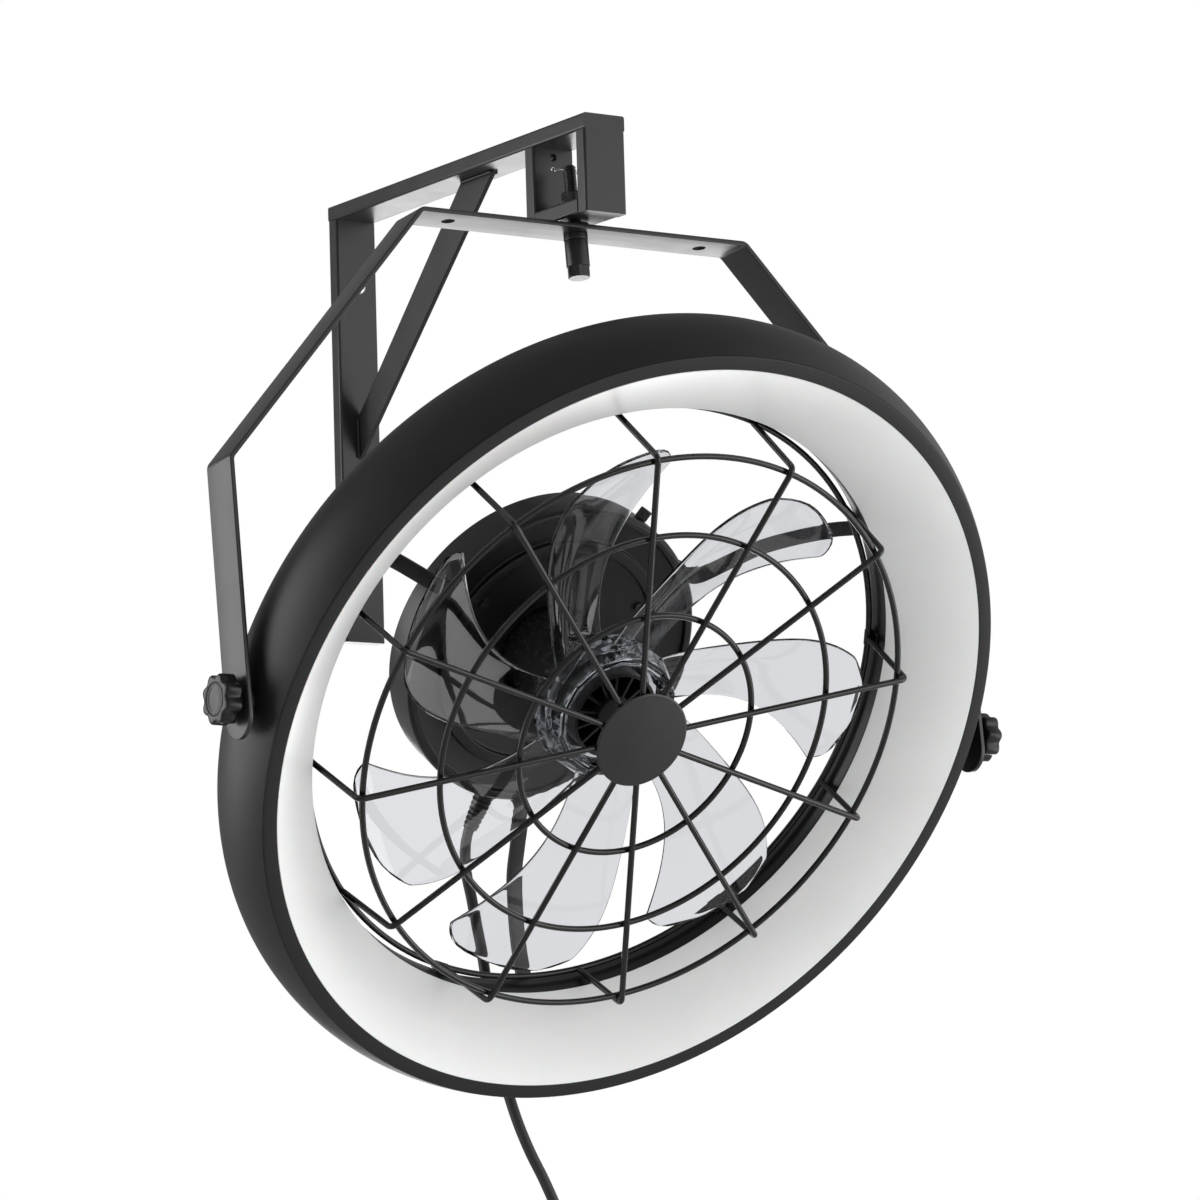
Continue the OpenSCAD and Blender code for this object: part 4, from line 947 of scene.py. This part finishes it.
def make_wires():
    """Spokes, front rings and rear ring, with a weld nugget at each crossing."""
    places = [turn_z(360 * (i + 0.5) / SPOKES) for i in range(SPOKES)]
    spoke = tube(spoke_line(), WIRE_R, 20, (0, 1, 0))
    piece("spokes_fine", join(*(moved(spoke, p) for p in places)), "head", "grille_wire",
          "grille_spokes", sharp=60)
    rings = [tube(circle_line(r, RING_Z), WIRE_R, 20, (0, 0, 1), True) for r in FRONT_RINGS]
    piece("rings_fine", join(*rings), "head", "grille_wire", "grille_rings", sharp=60)
    rear = tube(circle_line(REAR_R, REAR_Z, 216), WIRE_R, 20, (0, 0, 1), True)
    piece("rear_ring_fine", rear, "head", "grille_wire", "grille_back_ring", sharp=60)
    beads = [bead(r, (RING_Z + SPOKE_Z) / 2, 1.7, 1.0) for r in FRONT_RINGS]
    beads.append(bead(REAR_R - 0.3, REAR_Z + 2.3, 1.8, 1.2))
    welds = [moved(join(*beads), p) for p in places]
    piece("grille_welds", join(*welds), "head", "grille_wire", sharp=60)


def make_cap():
    """Round cap over the spokes' inner ends, with a fine groove near its rim."""
    low = SPOKE_Z + WIRE_R + 0.2
    high = low + 1.6
    outline = [(0, low), (CAP_R - 0.4, low), (CAP_R, low + 0.4), (CAP_R, high - 0.7),
               (CAP_R - 0.4, high - 0.3), (CAP_R - 1.1, high - 0.05), (CAP_R - 1.8, high - 0.1),
               (CAP_R - 2.4, high), (0, high)]
    piece("cap_fine", lathe(outline, 120), "head", "black_steel", "grille_cap", sharp=40,
          weld=True)


make_clips()
make_wires()
make_cap()


# Motor drum and turning can, in millimetres: heights run forward along the fan's axis
DRUM_R, DRUM_IN_R, DRUM_BACK, DRUM_RIM = 100, 97.5, -112, -85
BOSSES, FIRST_BOSS, BOSS_AT_R, BOSS_Z = 3, 152.6, 65, -91.2
CAN_R, CAN_WALL, CAN_BACK, CAN_FRONT, CAN_BORE_R = 30, 3, -100, -30, 4.03
THUMB_DEG, THUMB_R, THUMB_Z = 65.4, 100.2, -98.5
THUMB_GROOVES, THUMB_DEPTH = 18, 0.28


def make_drum():
    """Drum with a dished, stepped face and three bosses for its screws."""
    outline = [(DRUM_IN_R, DRUM_BACK), (DRUM_R, DRUM_BACK), (DRUM_R, DRUM_RIM - 2),
               (DRUM_R - 2, DRUM_RIM), (94, DRUM_RIM), (94, -89), (78, -91), (78, -87),
               (71, -87), (71, -91), (32.5, -93), (32.5, -95.5), (DRUM_IN_R, -95.5)]
    radii = [0, 0.8, 2.0, 2.0, 0.6, 1.2, 1.2, 0.8, 0.8, 1.2, 0.8, 0, 0]
    body = lathe(rounded(outline, radii, 5), 240)
    boss = lathe(rounded([(1.6, -0.6), (5.4, -0.6), (5.0, 0.1), (1.6, 0.1)], 0.2, 3), 40)
    bosses = []
    for i in range(BOSSES):
        turn = turn_z(FIRST_BOSS + 360 / BOSSES * i)
        bosses.append(moved(boss, turn @ Matrix.Translation((BOSS_AT_R, 0, BOSS_Z))))
    piece("drum_fine", join(body, *bosses), "head", "black_plastic", "motor_housing")


def make_rear_cover():
    """Rear cover with three low ribs round it."""
    ribs_at, rib_w, low, high = (18, 56, 76), 5, DRUM_BACK + 0.7, DRUM_BACK + 2.5
    outline = [(0, high), (0, low)]
    for r in ribs_at[:2]:
        outline += [(r, low), (r + 1, DRUM_BACK), (r + rib_w - 1, DRUM_BACK), (r + rib_w, low)]
    outline += [(ribs_at[2], low), (ribs_at[2] + 1, DRUM_BACK), (96.8, DRUM_BACK),
                (97.2, DRUM_BACK + 0.4), (97.2, high)]
    piece("rear_cover_fine", lathe(outline, 240), "head", "black_plastic", "motor_back_cover",
          weld=True)


def make_can():
    """Turning can, open at the back, with a hub for the shaft."""
    in_r, in_z = CAN_R - CAN_WALL, CAN_FRONT - CAN_WALL
    hub_r, hub_back = 9, CAN_FRONT - 9
    outline = [(in_r, CAN_BACK), (CAN_R, CAN_BACK), (CAN_R, CAN_FRONT),
               (CAN_BORE_R, CAN_FRONT), (CAN_BORE_R, hub_back), (hub_r, hub_back),
               (hub_r, in_z), (in_r, in_z)]
    can = lathe(rounded(outline, [0, 0.5, 1.6, 0.5, 0, 0.5, 1, 1], 4), 160)
    piece("can_fine", can, "rotor", "black_fastener", "rotor_can")


def make_thumb_screw():
    def knurled(r):
        return lambda a: r - THUMB_DEPTH * abs(math.sin(math.radians(a * THUMB_GROOVES / 2)))
    levels = [(z, knurled(r)) for z, r in ((0, 3.6), (0.5, 4.0), (6.4, 4.0), (7, 3.5))]
    piece("thumb_screw_fine", round_loft(levels, 144), "head", "black_fastener",
          "thumb_screw", where=HEAD_MM @ outward(THUMB_DEG, THUMB_R, THUMB_Z), sharp=25)


make_drum()
make_rear_cover()
make_can()
make_thumb_screw()


# Impeller, in millimetres and degrees
BLADES, TIP_R, ROOT_R = 7, 175.0, 45.0
ROOT_DEPTH, TIP_ROUND = 2, 12
LEAD_DEG = (105.6, -13.7, -5.5, 4.1)
TRAIL_DEG = (134.4, -12.1, 3.1, -8.7)
LEAD_Z, LEAD_RISE, TRAIL_Z, TRAIL_RISE = -21, 3.8, -7.1, 14.2
CAMBER_ROOT, CAMBER_TIP, CURL_ROOT, CURL_TIP = 1.6, 0.3, 5.0, 0.6
CURL_FROM = 0.68


def blade_point(s, w, lift):
    """Place on a blade: s from root to tip, w across it, lift above its middle surface.
    The edges' angles are polynomials of q, from -1 at the root to 1 at the tip."""
    root = ROOT_R - ROOT_DEPTH
    r = root + (TIP_R - TIP_ROUND * abs(2 * w - 1) ** 4 - root) * s
    q = (2 * r - TIP_R - ROOT_R) / (TIP_R - ROOT_R)
    lead = sum(c * q ** i for i, c in enumerate(LEAD_DEG))
    trail = sum(c * q ** i for i, c in enumerate(TRAIL_DEG))
    a = math.radians(lead + (trail - lead) * w)
    g = (r - ROOT_R) / (TIP_R - ROOT_R)
    z = (LEAD_Z + LEAD_RISE * g) * (1 - w) + (TRAIL_Z + TRAIL_RISE * g) * w
    camber = CAMBER_ROOT + (CAMBER_TIP - CAMBER_ROOT) * g
    curl = CURL_ROOT + (CURL_TIP - CURL_ROOT) * g
    z -= camber * 4 * w * (1 - w)
    z -= curl * max(0, (w - CURL_FROM) / (1 - CURL_FROM)) ** 2
    return (r * math.cos(a), r * math.sin(a), z + lift)


def blade_shape():
    """One blade, 2 mm thick, with round edges."""
    across = (0, 0.004, 0.012, 0.024, 0.05, 0.09, 0.15, 0.22, 0.3, 0.4, 0.5, 0.6, 0.7, 0.78,
              0.85, 0.91, 0.95, 0.976, 0.988, 0.996, 1)
    near_edge = {0: 0.0, 0.004: 0.55, 0.012: 0.85, 0.024: 1.0}
    along = [i / 30 for i in range(30)] + [0.983, 0.992, 0.997, 1.0]
    near_tip = {1.0: 0.35, 0.997: 0.75, 0.992: 0.95}
    half_t = [near_edge.get(round(min(w, 1 - w), 3), 1.0) for w in across]
    rings = []
    for s in along:
        share = near_tip.get(s, 1.0)
        top = [blade_point(s, w, h * share) for w, h in zip(across, half_t)]
        low = [blade_point(s, w, -h * share) for w, h in zip(across, half_t)]
        rings.append(top + low[-2:0:-1])
    return loft(rings)


def facet_ring(r, facets):
    """Points round a polygon with rounded corners, and three more along each side."""
    ridge_r, each = 1.6, 4
    soft = [Vector(c) for c in rounded(circle_line(r, 0, facets), ridge_r, each - 1)]
    ring = []
    for i in range(0, len(soft), each):
        ridge, after = soft[i:i + each], soft[(i + each) % len(soft)]
        ring += ridge + [ridge[-1].lerp(after, t) for t in (0.25, 0.5, 0.75)]
    return ring


def crown_shape():
    """Faceted crown with rounded ridges, a stepped face and a round bore."""
    facets, bore_r, back, round_within = 14, 33.0, -28, 34.5
    outline = rounded([(ROOT_R, back), (ROOT_R, -14.5), (40.5, -3), (38.6, -3), (37.8, -4.6),
                       (36.4, -4.6), (35.4, -3.4), (34.3, -3.4), (bore_r, -6), (bore_r, back)],
                      [0.4, 0.9, 0.9, 0.5, 0.4, 0.4, 0.5, 0.5, 0.8, 0.4], 3)
    rings = []
    for r, z in outline:
        ring = facet_ring(r, facets)
        if r <= round_within:
            ring = [v.normalized() * r for v in ring]
        rings.append([(v.x, v.y, z) for v in ring])
    return loft(rings, loop=True)


def make_impeller():
    blade = blade_shape()
    blades = [moved(blade, turn_z(-360 * i / BLADES)) for i in range(BLADES)]
    piece("impeller_fine", join(*blades, crown_shape()), "rotor", "clear_blades", "impeller",
          sharp=22, weld=True)


make_impeller()


# Clamp knobs, in millimetres: place, lobes, neck, well in the face and cap in the well
KNOB_X, KNOB_R, KNOB_HIGH = 267.6, 14.35, 14.4
LOBES, LOBE_DEG, LOBE_H, LOBE_FLAT = 8, 11.25, 1.1, 0.12
NECK_R, WELL_R, WELL_Z, CAP_IN_R = 8.8, 9.85, 12.6, 9.75


def lobes(inset):
    """Radius over the angle of the lobed outline, some way inside it."""
    def radius(a):
        wave = math.cos(math.radians(LOBES * (a - LOBE_DEG)))
        return KNOB_R + LOBE_H * wave + LOBE_FLAT * (1 - wave * wave) - inset
    return radius


def make_knob(side, body, node, cap_node):
    """Lobed knob with scooped sides, rounded rims and an inset domed cap."""
    turned = Matrix.Rotation(side * math.pi / 2, 4, "Y")
    place = HEAD_MM @ Matrix.Translation((side * KNOB_X, 0, 0)) @ turned
    levels = [(0, NECK_R - 0.4), (0.3, NECK_R), (2.7, NECK_R), (3.0, NECK_R + 0.4)]
    levels += [(z, lobes(inset)) for z, inset in (
        (3.02, 2.2), (3.3, 1.0), (3.8, 0.35), (4.6, 0), (12.4, 0), (13.3, 0.3), (13.9, 0.9),
        (14.25, 1.8), (KNOB_HIGH, 3.0))]
    levels += [(KNOB_HIGH, 10.4), (14.2, 10.0), (13.2, WELL_R), (WELL_Z, WELL_R)]
    piece(node + "_fine", round_loft(levels, 192), body, "knob_plastic", node, where=place,
          sharp=40)
    dome = [(0, 12.4), (9.6, 12.4), (CAP_IN_R, 12.6), (CAP_IN_R, 14.0), (9.4, 14.3),
            (8.9, 14.35), (8.5, 14.05), (7.9, 14.0), (7.4, 14.2), (5, 14.36), (0, KNOB_HIGH)]
    piece(cap_node + "_fine", lathe(dome), body, "knob_plastic", cap_node, where=place,
          sharp=40, weld=True)


make_knob(-1, "left_knob", "knob_left", "knob_cap_left")
make_knob(1, "right_knob", "knob_right", "knob_cap_right")


# Light and surroundings: reflections see a studio that brightens towards BRIGHT_SIDE
BRIGHT_SIDE = (0.75, -0.35, -0.56)
BRIGHT_LEVEL = 1.0
DIM_SIDE = 0.27
SOFT_LEVEL = 0.78
FADE_FROM, FADE_TO = -0.2, 0.65

# Lamps: name, place and side in metres, level of the face, where 1 is white
AIM = (0, -0.28, -0.2)
LAMPS = (
    ("key", (1.6, -2.7, -0.35), 2.0, 1.5),
    ("side", (-0.95, 0.3, -0.12), 1.0, 2.6),
    ("right", (1.85, -1.25, -0.82), 1.3, 1.9),
    ("under", (1.35, 1.75, -0.75), 1.3, 2.6),
)

# Floor: height in metres, rims in millimetres, greys, and a Mix node's colour sockets
FLOOR_Z = -1.5
FLOOR_RIMS = (12000, 1500)
FLOOR_DARK, FLOOR_LIGHT = 0.90, 0.93
FLOOR_MIRRORED = 0.5
MIX_COLOUR_A, MIX_COLOUR_B, MIX_COLOUR_OUT = 6, 7, 2


def make_world():
    """White for the camera and through clear parts, a studio that is dim on its upper left
    for reflections, and an even SOFT_LEVEL for matt surfaces."""
    world = bpy.data.worlds.new("studio")
    bpy.context.scene.world = world
    world.use_nodes = True
    tree = world.node_tree
    sky = tree.nodes["Background"]
    sky.inputs["Color"].default_value = (1, 1, 1, 1)
    rays = node(tree, "LightPath", {}).outputs
    place = node(tree, "TexCoord", {}).outputs["Generated"]
    ahead = {0: place, 1: Vector(BRIGHT_SIDE).normalized()}
    towards = node(tree, "VectorMath", ahead, operation="DOT_PRODUCT").outputs["Value"]
    studio = spread(tree, towards, DIM_SIDE, BRIGHT_LEVEL, FADE_FROM, FADE_TO, "SMOOTHSTEP")
    mix = {"Factor": rays["Is Glossy Ray"], "A": SOFT_LEVEL, "B": studio}
    level = node(tree, "Mix", mix).outputs["Result"]
    for ray in ("Is Camera Ray", "Is Transmission Ray"):
        level = node(tree, "Math", {0: level, 1: rays[ray]}, operation="MAXIMUM").outputs["Value"]
    tree.links.new(level, sky.inputs["Strength"])


def make_lamp(name, at, size, level):
    """Square lamp aimed at the fan, whose face shines at a level where 1 is white."""
    data = bpy.data.lights.new(name, "AREA")
    data.shape = "SQUARE"
    data.size = size
    data.energy = level * math.pi * size * size
    lamp = bpy.data.objects.new(name, data)
    lamp.rotation_euler = (Vector(AIM) - Vector(at)).to_track_quat("-Z", "Y").to_euler()
    lamp.location = at
    lamp.visible_camera = False
    lamp.visible_transmission = False
    bpy.context.scene.collection.objects.link(lamp)


def make_floor():
    """Pale round floor far below, a disc inside a wide rim, darker in reflections."""
    n = 96
    verts = [v for r in FLOOR_RIMS for v in circle_line(r, 0, n)]
    rim = [(k, (k + 1) % n, n + (k + 1) % n, n + k) for k in range(n)]
    disc = tuple(n + k for k in range(n))
    floor = new_object("floor", (verts, rim + [disc]), Matrix.Translation((0, 0, FLOOR_Z)) @ MM)
    mat, tree, shader = principled("pale_floor", Roughness=0.7, Specular_IOR_Level=0.2)
    patches = noise(tree, size_mm=400, detail=3.0)
    pale = tint(tree, patches, grey(FLOOR_DARK), grey(FLOOR_LIGHT))
    mirrored = node(tree, "LightPath", {}).outputs["Is Glossy Ray"]
    mix = {"Factor": mirrored, MIX_COLOUR_A: pale, MIX_COLOUR_B: (*grey(FLOOR_MIRRORED), 1)}
    tone = node(tree, "Mix", mix, data_type="RGBA").outputs[MIX_COLOUR_OUT]
    tree.links.new(tone, shader.inputs["Base Color"])
    floor.data.materials.append(mat)


make_world()
for lamp in LAMPS:
    make_lamp(*lamp)
make_floor()

bpy.context.scene.view_settings.view_transform = "Standard"
